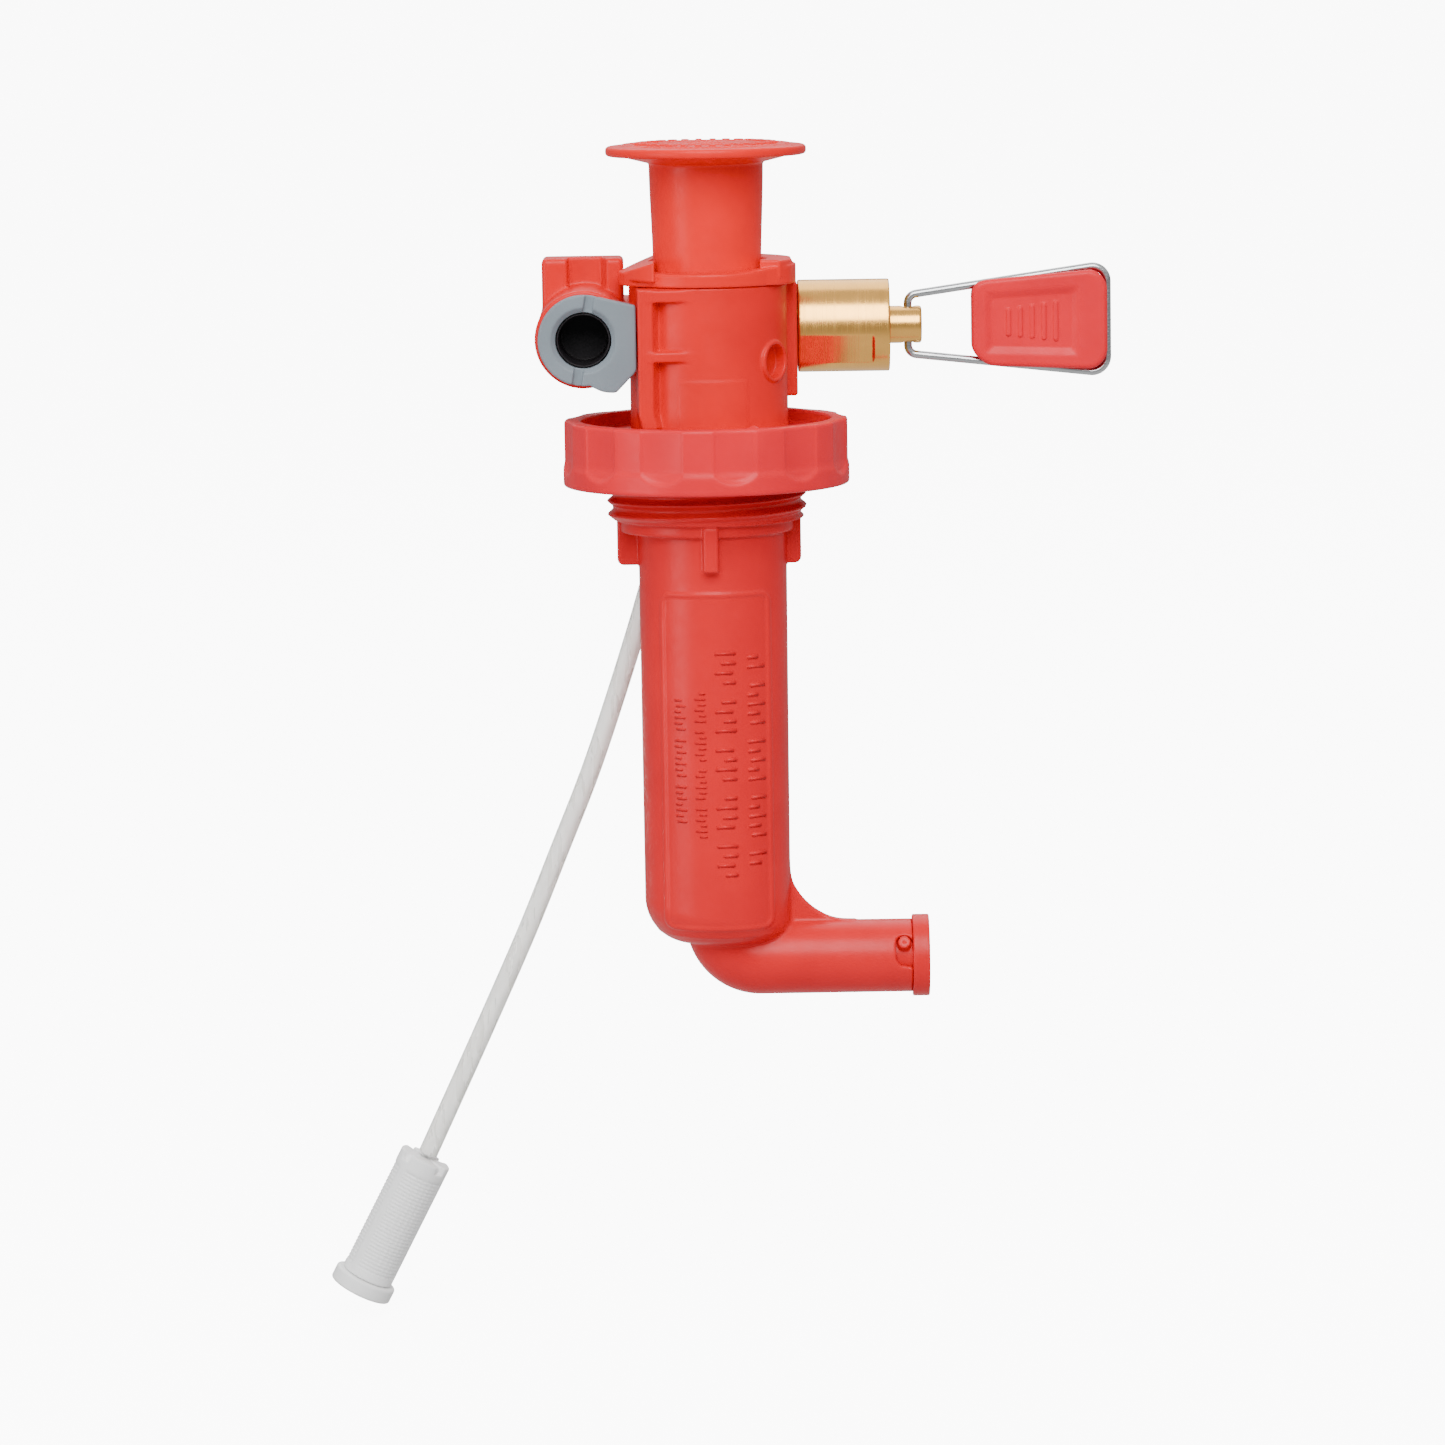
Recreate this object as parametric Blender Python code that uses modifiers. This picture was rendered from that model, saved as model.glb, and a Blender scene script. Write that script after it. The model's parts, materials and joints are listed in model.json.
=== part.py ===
"""Hand plunger pump that screws into a fuel bottle: barrel, head, valve, check valve, suction line.

The origin is on the bottle thread's axis, at the seal face under the gasket. +Z runs up the plunger,
-Y faces the front and +X points to the brass control valve. Sizes are in millimetres, times MM.
"""
import math

import bmesh
import bpy
from mathutils import Matrix, Vector

MM = 0.001
GAP = 0.3                      # clearance kept between touching pieces

# Pump axis, which stands off the bottle thread's axis to leave room for the suction line
PUMP_X = 0.6
PUMP_Y = -1.0
BORE_RADIUS = 9.5
BARREL_RADIUS = 11.6
BARREL_BOTTOM = -78.1
BORE_BOTTOM = -70.8

# Bottle thread and grip ring
THREAD_CORE = 15.0
THREAD_DEPTH = 0.8
THREAD_PITCH = 2.1
THREAD_TOP = -3.3
THREAD_BOTTOM = -9.9
THREAD_START = 0.3             # steps by which the ridge starts past +X
COLLAR_BOTTOM = -12.2
COLLAR_TOP = 1.2
NECK_RADIUS = 12.3
NECK_TOP = 3.7
RING_RADIUS = 22.6
RING_TOP = 5.6
RING_BOTTOM = -4.8
RING_LIP = 2.8
FLUTES = 12
FLUTE_ANGLE = 18.0
FLUTE_DEPTH = 0.55
WEB_BOTTOM = 1.5
WEB_TOP = 3.3
FIN_REACH = 14.65
FIN_BOTTOM = -17.65
FIN_WIDTH = 2.35

# Head, with the fuel gallery behind the pump bore
HEAD_RADIUS = 12.5
HEAD_TOP = 27.0
GALLERY_Y = 13.8
GALLERY_Z = 19.0
PORT_X = -19.0
PORT_RADIUS = 7.7
PORT_FRONT = -9.3
PORT_BORE = 5.6
PORT_HOLE = 4.5                # in the grey face, for the black sleeve
BLOCK_RIGHT = 14.75
FUEL_PASSAGE = (-7.5, 9.5)     # X and Y of the way up from the suction line
PASSAGE_RADIUS = 1.2
GALLERY_RADIUS = 1.6

# Bayonet of the plunger bushing
LUG_RADIUS = 10.6
GROOVE_RADIUS = 10.9
GROOVE_LOW = 23.3
GROOVE_HIGH = 25.3
UNLOCK_ANGLE = 45.0
LUG_HALF_ANGLE = 12.0

# Plunger, stored pushed in
SHAFT_HALF = 5.85
SHAFT_WEB = 2.6
SHAFT_BOTTOM = -60.0
STUB_BOTTOM = 28.1
KNOB_RADIUS = 15.86
KNOB_TOP = 49.4
CUP_TOP = -61.8

# Control valve, along X through the gallery
NUT_RADIUS = 7.42
NUT_END = 29.7
STEM_RADIUS = 3.0
STEM_END = 34.9
CROSS_HOLE_X = 32.7
BAIL_NEAR = 4.9                # half height of the loop by the stem
BAIL_FAR = 8.45                # half height of the loop at its far end
BAIL_END = 64.75
BAIL_RISE = 0.014              # the loop rides up a little as it runs out
WIRE_RADIUS = 0.65

# Check valve, along X in the elbow under the barrel
ELBOW_Z = -81.3
ELBOW_RADIUS = 5.9
ELBOW_BEND = 6.1
ELBOW_END = 31.65
CHAMBER_RADIUS = 4.9
CHAMBER_START = 13.6
NUB_X = 30.4
NUB_RADIUS = 0.9
NUB_ANGLE = 30.0               # above the front
CAP_TURN = 25.0

# Suction line: the route's points, from the nipple down to the filter
TUBE_RADIUS = 1.6
TUBE_STEP = 8.0
TUBE_ROUTE = [
    (-7.5, 9.5, -14.4),
    (-8.8, 9.8, -19.5),
    (-11.3, 10.2, -28.0),
    (-15.2, 10.5, -40.0),
    (-19.6, 10.5, -52.5),
    (-24.7, 10.5, -65.0),
    (-30.1, 10.5, -78.0),
    (-36.2, 10.5, -91.5),
    (-42.0, 10.5, -104.0),
    (-47.2, 10.5, -115.1),
]
FILTER_TOP = (-47.33, 10.5, -115.38)
FILTER_TILT = 25.8
FILTER_RADIUS = 3.95
FILTER_LENGTH = 22.3

RED = (0.640, 0.040, 0.036, 1.0)
RING_RED = (0.690, 0.060, 0.065, 1.0)
BLACK = (0.012, 0.012, 0.013, 1.0)
GREY = (0.280, 0.330, 0.380, 1.0)
BRASS = (0.730, 0.480, 0.260, 1.0)
STEEL = (0.620, 0.620, 0.600, 1.0)
WHITE = (0.850, 0.850, 0.830, 1.0)
CLEAR_WHITE = (0.780, 0.770, 0.740, 1.0)


# ---------------------------------------------------------------- scene helpers

def clear_scene():
    for old in list(bpy.data.objects):
        bpy.data.objects.remove(old, do_unlink=True)


def new_collection(name):
    group = bpy.data.collections.new(name)
    bpy.context.scene.collection.children.link(group)
    return group


def new_material(name, colour, roughness, metallic=0.0):
    material = bpy.data.materials.new(name)
    material.use_nodes = True
    shader = material.node_tree.nodes["Principled BSDF"]
    shader.inputs["Base Color"].default_value = colour
    shader.inputs["Roughness"].default_value = roughness
    shader.inputs["Metallic"].default_value = metallic
    return material


def place_mesh(name, mesh, place, turn):
    piece = bpy.data.objects.new(name, mesh)
    piece.location = Vector(place) * MM
    piece.rotation_euler = [math.radians(angle) for angle in turn]
    PARTS.objects.link(piece)
    return piece


def finish_piece(piece, colour, roughness, metallic=0.0):
    """Give a sub-part its own material and smooth its round faces."""
    piece.data.materials.clear()
    piece.data.materials.append(new_material(piece.name, colour, roughness, metallic))
    piece.data.shade_smooth()
    piece.data.set_sharp_from_angle(angle=math.radians(35.0))
    return piece


def make_tool(piece):
    """Move a cutter, or a form that is joined to another, out of the model."""
    for group in list(piece.users_collection):
        group.objects.unlink(piece)
    TOOLS.objects.link(piece)
    piece.hide_render = True
    piece.display_type = "WIRE"


def boolean(piece, other, operation):
    make_tool(other)
    modifier = piece.modifiers.new(other.name, "BOOLEAN")
    modifier.operation = operation
    modifier.object = other
    modifier.solver = "EXACT"


def join(piece, *others):
    for other in others:
        boolean(piece, other, "UNION")


def cut(piece, *others):
    for other in others:
        boolean(piece, other, "DIFFERENCE")


def pivot(name, place, *pieces):
    """An empty on a joint's axis, which its pieces hang on."""
    empty = bpy.data.objects.new(name, None)
    empty.location = Vector(place) * MM
    PARTS.objects.link(empty)
    bpy.context.view_layer.update()
    for piece in pieces:
        piece.parent = empty
        piece.matrix_parent_inverse = empty.matrix_world.inverted()
    return empty


# ---------------------------------------------------------------- shapes

UP = (0.0, 0.0, 0.0)
ALONG_X = (0.0, 90.0, 0.0)     # local Z points to +X
TO_FRONT = (90.0, 0.0, 0.0)    # local Z points to -Y


def turned(name, profile, place=(0.0, 0.0, 0.0), turn=UP, steps=32):
    """Turn a profile of (radius, height) points; its outer side runs from the top down."""
    mesh = bpy.data.meshes.new(name)
    points = [(radius * MM, 0.0, height * MM) for radius, height in profile]
    edges = [(index, index + 1) for index in range(len(points) - 1)]
    if profile[0][0] > 0.0:
        edges.append((len(points) - 1, 0))
    mesh.from_pydata(points, edges, [])
    piece = place_mesh(name, mesh, place, turn)
    screw = piece.modifiers.new("turn", "SCREW")
    screw.axis = "Z"
    screw.steps = steps
    screw.render_steps = steps
    screw.use_merge_vertices = True
    screw.merge_threshold = 0.00001
    screw.use_smooth_shade = True
    return piece


def block(name, low, high):
    size = [(b - a) * MM for a, b in zip(low, high)]
    middle = [(a + b) / 2 for a, b in zip(low, high)]
    shape = bmesh.new()
    bmesh.ops.create_cube(shape, size=1.0, matrix=Matrix.Diagonal((*size, 1.0)))
    mesh = bpy.data.meshes.new(name)
    shape.to_mesh(mesh)
    shape.free()
    return place_mesh(name, mesh, middle, UP)


def add_cylinder(shape, radius, length, matrix, sides):
    bmesh.ops.create_cone(
        shape,
        cap_ends=True,
        segments=sides,
        radius1=radius * MM,
        radius2=radius * MM,
        depth=length * MM,
        matrix=matrix,
    )


def cylinder(name, radius, start, end, sides=32):
    """A cylinder between two points."""
    start = Vector(start)
    end = Vector(end)
    shape = bmesh.new()
    turn = (end - start).to_track_quat("Z", "Y").to_matrix().to_4x4()
    add_cylinder(shape, radius, (end - start).length, turn, sides)
    mesh = bpy.data.meshes.new(name)
    shape.to_mesh(mesh)
    shape.free()
    return place_mesh(name, mesh, (start + end) / 2, UP)


def mesh_from_curve(guide):
    """Make a closed mesh of a curve object, and remove the curve."""
    bpy.context.view_layer.update()
    evaluated = guide.evaluated_get(bpy.context.evaluated_depsgraph_get())
    mesh = bpy.data.meshes.new_from_object(evaluated)
    shape = bmesh.new()
    shape.from_mesh(mesh)
    bmesh.ops.remove_doubles(shape, verts=shape.verts, dist=0.000002)
    shape.to_mesh(mesh)
    shape.free()
    name = guide.name
    matrix = guide.matrix_world.copy()
    bpy.data.objects.remove(guide, do_unlink=True)
    mesh.name = name
    piece = bpy.data.objects.new(name, mesh)
    piece.matrix_world = matrix
    PARTS.objects.link(piece)
    return piece


def plate(name, outline, thickness, place, turn=UP):
    """A flat outline with a thickness, its middle plane through the place."""
    curve = bpy.data.curves.new(name, "CURVE")
    curve.dimensions = "2D"
    curve.fill_mode = "BOTH"
    curve.extrude = thickness / 2 * MM
    spline = curve.splines.new("POLY")
    spline.points.add(len(outline) - 1)
    for point, (across, along) in zip(spline.points, outline):
        point.co = (across * MM, along * MM, 0.0, 1.0)
    spline.use_cyclic_u = True
    return mesh_from_curve(place_mesh(name, curve, place, turn))


def rod(name, points, radius, sides=2, taper=0):
    """A round rod along points; taper is the number of points that thin out at each end."""
    curve = bpy.data.curves.new(name, "CURVE")
    curve.dimensions = "3D"
    curve.bevel_depth = radius * MM
    curve.bevel_resolution = sides
    curve.use_fill_caps = True
    spline = curve.splines.new("POLY")
    spline.points.add(len(points) - 1)
    for index, (point, place) in enumerate(zip(spline.points, points)):
        point.co = (*(Vector(place) * MM), 1.0)
        from_end = min(index, len(points) - 1 - index)
        if from_end < taper:
            point.radius = 0.15 + 0.85 * from_end / taper
    return mesh_from_curve(place_mesh(name, curve, (0.0, 0.0, 0.0), UP))


def arc(centre, radius, start, end, count):
    """Points on an arc in a plane, angles in degrees."""
    angles = [math.radians(start + (end - start) * index / (count - 1)) for index in range(count)]
    return [
        (centre[0] + radius * math.cos(angle), centre[1] + radius * math.sin(angle))
        for angle in angles
    ]


def sector(inner, outer, middle, half_angle, count=7):
    """Outline of a piece of a ring, about the origin."""
    far = arc((0.0, 0.0), outer, middle - half_angle, middle + half_angle, count)
    near = arc((0.0, 0.0), inner, middle + half_angle, middle - half_angle, count)
    return far + near


def smooth_route(points, step):
    """Points at about one step along a smooth curve through the given points."""
    knots = [Vector(point) for point in points]
    knots = [2 * knots[0] - knots[1]] + knots + [2 * knots[-1] - knots[-2]]
    fine = []
    parts = 20
    for before, start, end, after in zip(knots, knots[1:], knots[2:], knots[3:]):
        for index in range(parts):
            t = index / parts
            fine.append(
                0.5
                * (
                    2 * start
                    + (end - before) * t
                    + (2 * before - 5 * start + 4 * end - after) * t * t
                    + (3 * start - before - 3 * end + after) * t * t * t
                )
            )
    fine.append(knots[-2])
    runs = [(b - a).length for a, b in zip(fine, fine[1:])]
    count = round(sum(runs) / step)
    spacing = sum(runs) / count
    route = [fine[0]]
    travelled = 0.0
    for run, point in zip(runs, fine[1:]):
        travelled += run
        if travelled >= spacing * len(route) - 1e-6:
            route.append(point)
    route[-1] = fine[-1]
    return route


def torus(name, ring_radius, wire_radius, place, turn=UP, steps=20, sides=6):
    profile = [
        (ring_radius + wire_radius * math.sin(angle), wire_radius * math.cos(angle))
        for angle in (2 * math.pi * index / sides for index in range(sides))
    ]
    return turned(name, profile, place, turn, steps)


# ---------------------------------------------------------------- bottle fitting and barrel

def make_barrel():
    collar = turned("pump_barrel", [
        (0.0, COLLAR_TOP),
        (THREAD_CORE, COLLAR_TOP),
        (THREAD_CORE, -10.2),
        (13.9, -10.7),
        (13.9, COLLAR_BOTTOM),
        (0.0, COLLAR_BOTTOM),
    ])
    round_off = 5.0
    bottom = arc((BARREL_RADIUS - 0.15 - round_off, BARREL_BOTTOM + round_off), round_off, 0, -90, 4)
    tube = turned("barrel_tube", [(0.0, -9.0), (BARREL_RADIUS, -9.0)] + bottom + [(0.0, BARREL_BOTTOM)],
                  (PUMP_X, PUMP_Y, 0.0))
    neck = cylinder("barrel_neck", NECK_RADIUS, (0, 0, 0), (0, 0, NECK_TOP), 32)
    fuel_boss = cylinder("barrel_fuel_boss", 3.0, (*FUEL_PASSAGE, 0), (*FUEL_PASSAGE, NECK_TOP), 20)
    join(collar, tube, neck, fuel_boss, thread_ridge(), locating_fins(), elbow(), elbow_rib())
    cut(collar, barrel_bore(), check_chamber(), elbow_passage())
    cut(collar, cylinder("barrel_fuel_passage", PASSAGE_RADIUS,
                         (*FUEL_PASSAGE, COLLAR_BOTTOM - 1), (*FUEL_PASSAGE, NECK_TOP + 1), 16))
    cut(collar, *bayonet_slot())
    return finish_piece(collar, RED, 0.42)


def thread_ridge():
    """The right-hand outer thread, as a four-sided ridge that thins out at its ends."""
    steps = 24
    turns = (THREAD_TOP - THREAD_BOTTOM) / THREAD_PITCH
    points = []
    for index in range(int(turns * steps) + 1):
        angle = 2 * math.pi * (index + THREAD_START) / steps
        height = THREAD_BOTTOM + THREAD_PITCH * index / steps
        points.append((THREAD_CORE * math.cos(angle), THREAD_CORE * math.sin(angle), height))
    return rod("thread_ridge", points, THREAD_DEPTH, sides=0, taper=6)


def locating_fins():
    """Four fins under the collar, with their lower outer corners cut off."""
    slant = 1.6
    fins = plate("locating_fins_side", [
        (-FIN_REACH, COLLAR_BOTTOM + 1.0),
        (-FIN_REACH, FIN_BOTTOM + slant),
        (-FIN_REACH + slant, FIN_BOTTOM),
        (FIN_REACH - slant, FIN_BOTTOM),
        (FIN_REACH, FIN_BOTTOM + slant),
        (FIN_REACH, COLLAR_BOTTOM + 1.0),
    ], FIN_WIDTH, (0.15, 0.0, 0.0), TO_FRONT)
    front = block("locating_fin_front", (-FIN_WIDTH / 2 + 0.4, -FIN_REACH, FIN_BOTTOM),
                  (FIN_WIDTH / 2 + 0.4, 0.0, COLLAR_BOTTOM + 1.0))
    back = block("locating_fin_back", (-FIN_WIDTH / 2 + 0.4, 0.0, FIN_BOTTOM),
                 (FIN_WIDTH / 2 + 0.4, 13.2, COLLAR_BOTTOM + 1.0))
    join(fins, front, back)
    return fins


def elbow_route(first_height, last_x):
    """Centreline of the elbow: down the pump axis, round the bend and out along +X."""
    centre = (PUMP_X + 0.9 + ELBOW_BEND, ELBOW_Z + ELBOW_BEND)
    bend = arc(centre, ELBOW_BEND, 180, 270, 6)
    points = [(centre[0] - ELBOW_BEND, first_height)] + bend + [(last_x, ELBOW_Z)]
    return [(x, PUMP_Y, z) for x, z in points]


def elbow():
    return rod("elbow", elbow_route(-71.5, ELBOW_END), ELBOW_RADIUS, sides=4)


def elbow_rib():
    """Thin rib between barrel and elbow, with a hollow edge."""
    edge = arc((22.6, -64.9), 10.6, 190, 265, 9)
    outline = [(8.0, edge[0][1])] + edge + [(edge[-1][0], -78.0), (8.0, -78.0)]
    return plate("elbow_rib", outline, 1.8, (0.0, PUMP_Y, 0.0), TO_FRONT)


def barrel_bore():
    return turned("barrel_bore", [
        (0.0, NECK_TOP + 2.0),
        (BORE_RADIUS, NECK_TOP + 2.0),
        (BORE_RADIUS, BORE_BOTTOM + 1.6),
        (2.2, BORE_BOTTOM),
        (0.0, BORE_BOTTOM),
    ], (PUMP_X, PUMP_Y, 0.0))


def elbow_passage():
    return rod("elbow_passage", elbow_route(BORE_BOTTOM + 1.0, CHAMBER_START + 0.6), 1.9, sides=3)


def check_chamber():
    return cylinder("check_chamber", CHAMBER_RADIUS,
                    (CHAMBER_START, PUMP_Y, ELBOW_Z), (ELBOW_END + 1.0, PUMP_Y, ELBOW_Z), 24)


def front_angle(above):
    """Angle in a plate's plane, seen along +X, for an angle above the front."""
    return 180.0 - above


def bayonet_slot():
    """L-shaped slot in the elbow's wall: a way in from the end, and a turn to the lock."""
    swing = 12.0
    middle = NUB_ANGLE - CAP_TURN / 2
    across = plate("bayonet_turn", sector(3.9, 7.5, front_angle(middle), CAP_TURN / 2 + swing),
                   2 * NUB_RADIUS + 0.3, (NUB_X, PUMP_Y, ELBOW_Z), (90.0, 0.0, 90.0))
    way_in = plate("bayonet_entry", sector(3.9, 7.5, front_angle(NUB_ANGLE - CAP_TURN), swing),
                   ELBOW_END + 1.0 - NUB_X, ((ELBOW_END + 1.0 + NUB_X) / 2, PUMP_Y, ELBOW_Z),
                   (90.0, 0.0, 90.0))
    return across, way_in


def make_grip_ring():
    inner = 21.2
    recess = 19.9
    edge = 0.35
    ring = turned("grip_ring", [
        (RING_RADIUS - edge, RING_TOP),
        (RING_RADIUS, RING_TOP - edge),
        (RING_RADIUS, RING_BOTTOM + edge),
        (RING_RADIUS - edge, RING_BOTTOM),
        (inner, RING_BOTTOM),
        (inner, WEB_BOTTOM),
        (NECK_RADIUS + GAP, WEB_BOTTOM),
        (NECK_RADIUS + GAP, WEB_TOP),
        (recess, WEB_TOP),
        (recess, RING_TOP),
    ], steps=48)
    cut(ring, ring_flutes())
    cut(ring, cylinder("ring_boss_clearance", 3.0 + GAP, (*FUEL_PASSAGE, 0), (*FUEL_PASSAGE, 8), 20))
    return finish_piece(ring, RING_RED, 0.45)


def ring_flutes():
    """Shallow finger flutes, which stop above a plain lower lip."""
    half_chord = RING_RADIUS * math.sin(math.radians(FLUTE_ANGLE / 2))
    radius = half_chord ** 2 / (2 * FLUTE_DEPTH) + FLUTE_DEPTH / 2
    low = RING_BOTTOM + RING_LIP
    high = RING_TOP + 1.0
    shape = bmesh.new()
    for index in range(FLUTES):
        turn = Matrix.Rotation(2 * math.pi * index / FLUTES + math.radians(3.0), 4, "Z")
        away = Vector((0.0, -(RING_RADIUS - FLUTE_DEPTH + radius), (low + high) / 2)) * MM
        add_cylinder(shape, radius, high - low, turn @ Matrix.Translation(away), 40)
    mesh = bpy.data.meshes.new("ring_flutes")
    shape.to_mesh(mesh)
    shape.free()
    return place_mesh("ring_flutes", mesh, (0.0, 0.0, 0.0), UP)


def make_gasket():
    gasket = turned("bottle_gasket", [(19.2, 1.2), (19.2, 0.0), (16.3, 0.0), (16.3, 1.2)])
    return finish_piece(gasket, BLACK, 0.6)


# ---------------------------------------------------------------- head

def make_head():
    bottom = NECK_TOP + GAP
    head = cylinder("pump_head", HEAD_RADIUS, (PUMP_X, PUMP_Y, bottom), (PUMP_X, PUMP_Y, HEAD_TOP), 36)
    join(
        head,
        block("valve_block", (-1.0, 1.0, 7.3), (BLOCK_RIGHT, 20.6, HEAD_TOP)),
        cylinder("gallery_wall", 5.4, (PORT_X, GALLERY_Y, GALLERY_Z), (0.5, GALLERY_Y, GALLERY_Z), 20),
        cylinder("port_barrel", PORT_RADIUS,
                 (PORT_X, 20.0, GALLERY_Z), (PORT_X, PORT_FRONT, GALLERY_Z), 28),
        block("catch_lug", (-25.5, 3.0, 23.0), (-13.2, 11.0, 31.0)),
        block("front_fin", (-10.4, -13.1, 5.5), (-8.1, -4.0, 26.8)),
        block("upper_gusset", (-9.0, -13.12, 24.6), (-2.2, -8.0, 26.1)),
        block("lower_gusset", (-9.0, -13.12, 15.3), (-2.2, -8.0, 16.9)),
        cylinder("head_fuel_boss", 3.0, (*FUEL_PASSAGE, bottom), (*FUEL_PASSAGE, GALLERY_Z), 20),
        side_boss(3.3, 11.0, 13.0, "recess_rim"),
    )
    cut(head, head_bore(), *bushing_keyways(), gallery_bore())
    cut(
        head,
        cylinder("port_bore", PORT_BORE, (PORT_X, PORT_FRONT - 1, GALLERY_Z), (PORT_X, 4.0, GALLERY_Z)),
        cylinder("port_passage", GALLERY_RADIUS, (PORT_X, 3.0, GALLERY_Z),
                 (PORT_X, GALLERY_Y, GALLERY_Z), 16),
        cylinder("head_fuel_passage", PASSAGE_RADIUS, (*FUEL_PASSAGE, bottom - 1),
                 (*FUEL_PASSAGE, GALLERY_Z + 0.7), 16),
        cylinder("head_cross_passage", PASSAGE_RADIUS, (*FUEL_PASSAGE, GALLERY_Z - 0.1),
                 (FUEL_PASSAGE[0], GALLERY_Y, GALLERY_Z - 0.1), 16),
        block("lug_recess", (-21.7, 2.0, 26.6), (-16.4, 6.0, 32.0)),
        side_boss(2.7, 11.0, 16.0, "side_recess"),
    )
    return finish_piece(head, RED, 0.42)


def side_boss(radius, start, end, name):
    """A round form on the head's right front, standing square to the cylinder."""
    angle = math.radians(57.0)
    out = Vector((math.sin(angle), -math.cos(angle), 0.0))
    foot = Vector((PUMP_X, PUMP_Y, 15.1))
    return cylinder(name, radius, foot + out * start, foot + out * end, 24)


def head_bore():
    """The pump bore, with the bushing's bayonet groove."""
    return turned("head_bore", [
        (0.0, HEAD_TOP + 1.0),
        (BORE_RADIUS, HEAD_TOP + 1.0),
        (BORE_RADIUS, GROOVE_HIGH),
        (GROOVE_RADIUS, GROOVE_HIGH),
        (GROOVE_RADIUS, GROOVE_LOW),
        (BORE_RADIUS, GROOVE_LOW),
        (BORE_RADIUS, 2.0),
        (0.0, 2.0),
    ], (PUMP_X, PUMP_Y, 0.0))


def bushing_keyways():
    """Two ways in for the bushing's lugs, from the top down to the groove."""
    low = GROOVE_HIGH - 0.5
    high = HEAD_TOP + 1.0
    return [
        plate(f"keyway_{side}", sector(8.0, GROOVE_RADIUS, UNLOCK_ANGLE + 180 * side, LUG_HALF_ANGLE + 3),
              high - low, (PUMP_X, PUMP_Y, (low + high) / 2))
        for side in (0, 1)
    ]


def gallery_bore():
    """Fuel gallery along X: a narrow run, the valve seat's cone and the nut's socket."""
    seat_x = 3.0
    cone = 1.8
    return turned("gallery_bore", [
        (0.0, BLOCK_RIGHT + 1.0),
        (5.5, BLOCK_RIGHT + 1.0),
        (5.5, 7.0),
        (GALLERY_RADIUS + cone, 7.0),
        (GALLERY_RADIUS + cone, seat_x + cone),
        (GALLERY_RADIUS, seat_x),
        (GALLERY_RADIUS, PORT_X - 0.5),
        (0.0, PORT_X - 0.5),
    ], (0.0, GALLERY_Y, GALLERY_Z), ALONG_X, 20)


# ---------------------------------------------------------------- plunger

def make_bushing():
    bushing = turned("plunger_bushing", [
        (13.7, 29.2),
        (14.0, 28.9),
        (14.0, HEAD_TOP + GAP),
        (BORE_RADIUS - GAP, HEAD_TOP + GAP),
        (BORE_RADIUS - GAP, 22.3),
        (SHAFT_HALF + 0.45, 22.3),
        (SHAFT_HALF + 0.45, STUB_BOTTOM - GAP),
        (8.9, STUB_BOTTOM - GAP),
        (8.9, 29.2),
    ], (PUMP_X, PUMP_Y, 0.0))
    for side in (0, 1):
        lug_height = (GROOVE_LOW + GROOVE_HIGH) / 2
        lug = plate(f"bushing_lug_{side}", sector(8.5, LUG_RADIUS, 180 * side, LUG_HALF_ANGLE),
                    GROOVE_HIGH - GROOVE_LOW - 2 * GAP, (PUMP_X, PUMP_Y, lug_height))
        wing = plate(f"bushing_wing_{side}", sector(9.5, 13.4, 30 + 180 * side, 20),
                     1.5, (PUMP_X, PUMP_Y, 29.4))
        join(bushing, lug, wing)
    return finish_piece(bushing, RED, 0.40)


def make_knob():
    knob = turned("plunger_knob", [
        (0.0, KNOB_TOP),
        (7.0, KNOB_TOP - 0.1),
        (15.2, KNOB_TOP - 0.4),
        (KNOB_RADIUS, KNOB_TOP - 0.8),
        (KNOB_RADIUS, KNOB_TOP - 1.7),
        (15.2, KNOB_TOP - 2.1),
        (8.9, KNOB_TOP - 3.7),
        (8.5, STUB_BOTTOM),
        (0.0, STUB_BOTTOM),
    ], (PUMP_X, PUMP_Y, 0.0))
    return finish_piece(knob, RED, 0.38)


def make_shaft():
    """Cross-shaped shaft, with the plate and pin that carry the cup."""
    top = STUB_BOTTOM - GAP
    half = SHAFT_WEB / 2
    shaft = block("plunger_shaft", (PUMP_X - SHAFT_HALF, PUMP_Y - half, SHAFT_BOTTOM - 1.0),
                  (PUMP_X + SHAFT_HALF, PUMP_Y + half, top))
    cross = block("shaft_cross", (PUMP_X - half, PUMP_Y - SHAFT_HALF, SHAFT_BOTTOM - 1.0),
                  (PUMP_X + half, PUMP_Y + SHAFT_HALF, top))
    foot = turned("shaft_foot", [
        (0.0, SHAFT_BOTTOM),
        (8.6, SHAFT_BOTTOM),
        (8.6, CUP_TOP + GAP),
        (2.6, CUP_TOP + GAP),
        (2.6, -66.6),
        (0.0, -66.6),
    ], (PUMP_X, PUMP_Y, 0.0), steps=20)
    join(shaft, cross, foot)
    return finish_piece(shaft, RED, 0.42)


def make_cup():
    cup = turned("pump_cup", [
        (8.9, CUP_TOP),
        (9.2, CUP_TOP - 0.4),
        (9.35, -67.0),
        (8.5, -67.0),
        (7.9, CUP_TOP - 1.5),
        (2.9, CUP_TOP - 1.5),
        (2.9, CUP_TOP),
    ], (PUMP_X, PUMP_Y, 0.0), steps=24)
    return finish_piece(cup, BLACK, 0.55)


def make_cup_retainer():
    top = CUP_TOP - 1.5 - GAP
    retainer = turned("cup_retainer", [
        (5.6, top),
        (6.0, top - 0.4),
        (6.0, top - 1.6),
        (2.9, top - 1.6),
        (2.9, top),
    ], (PUMP_X, PUMP_Y, 0.0), steps=20)
    return finish_piece(retainer, STEEL, 0.35, 1.0)


# ---------------------------------------------------------------- control valve

VALVE = (0.0, GALLERY_Y, GALLERY_Z)


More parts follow.
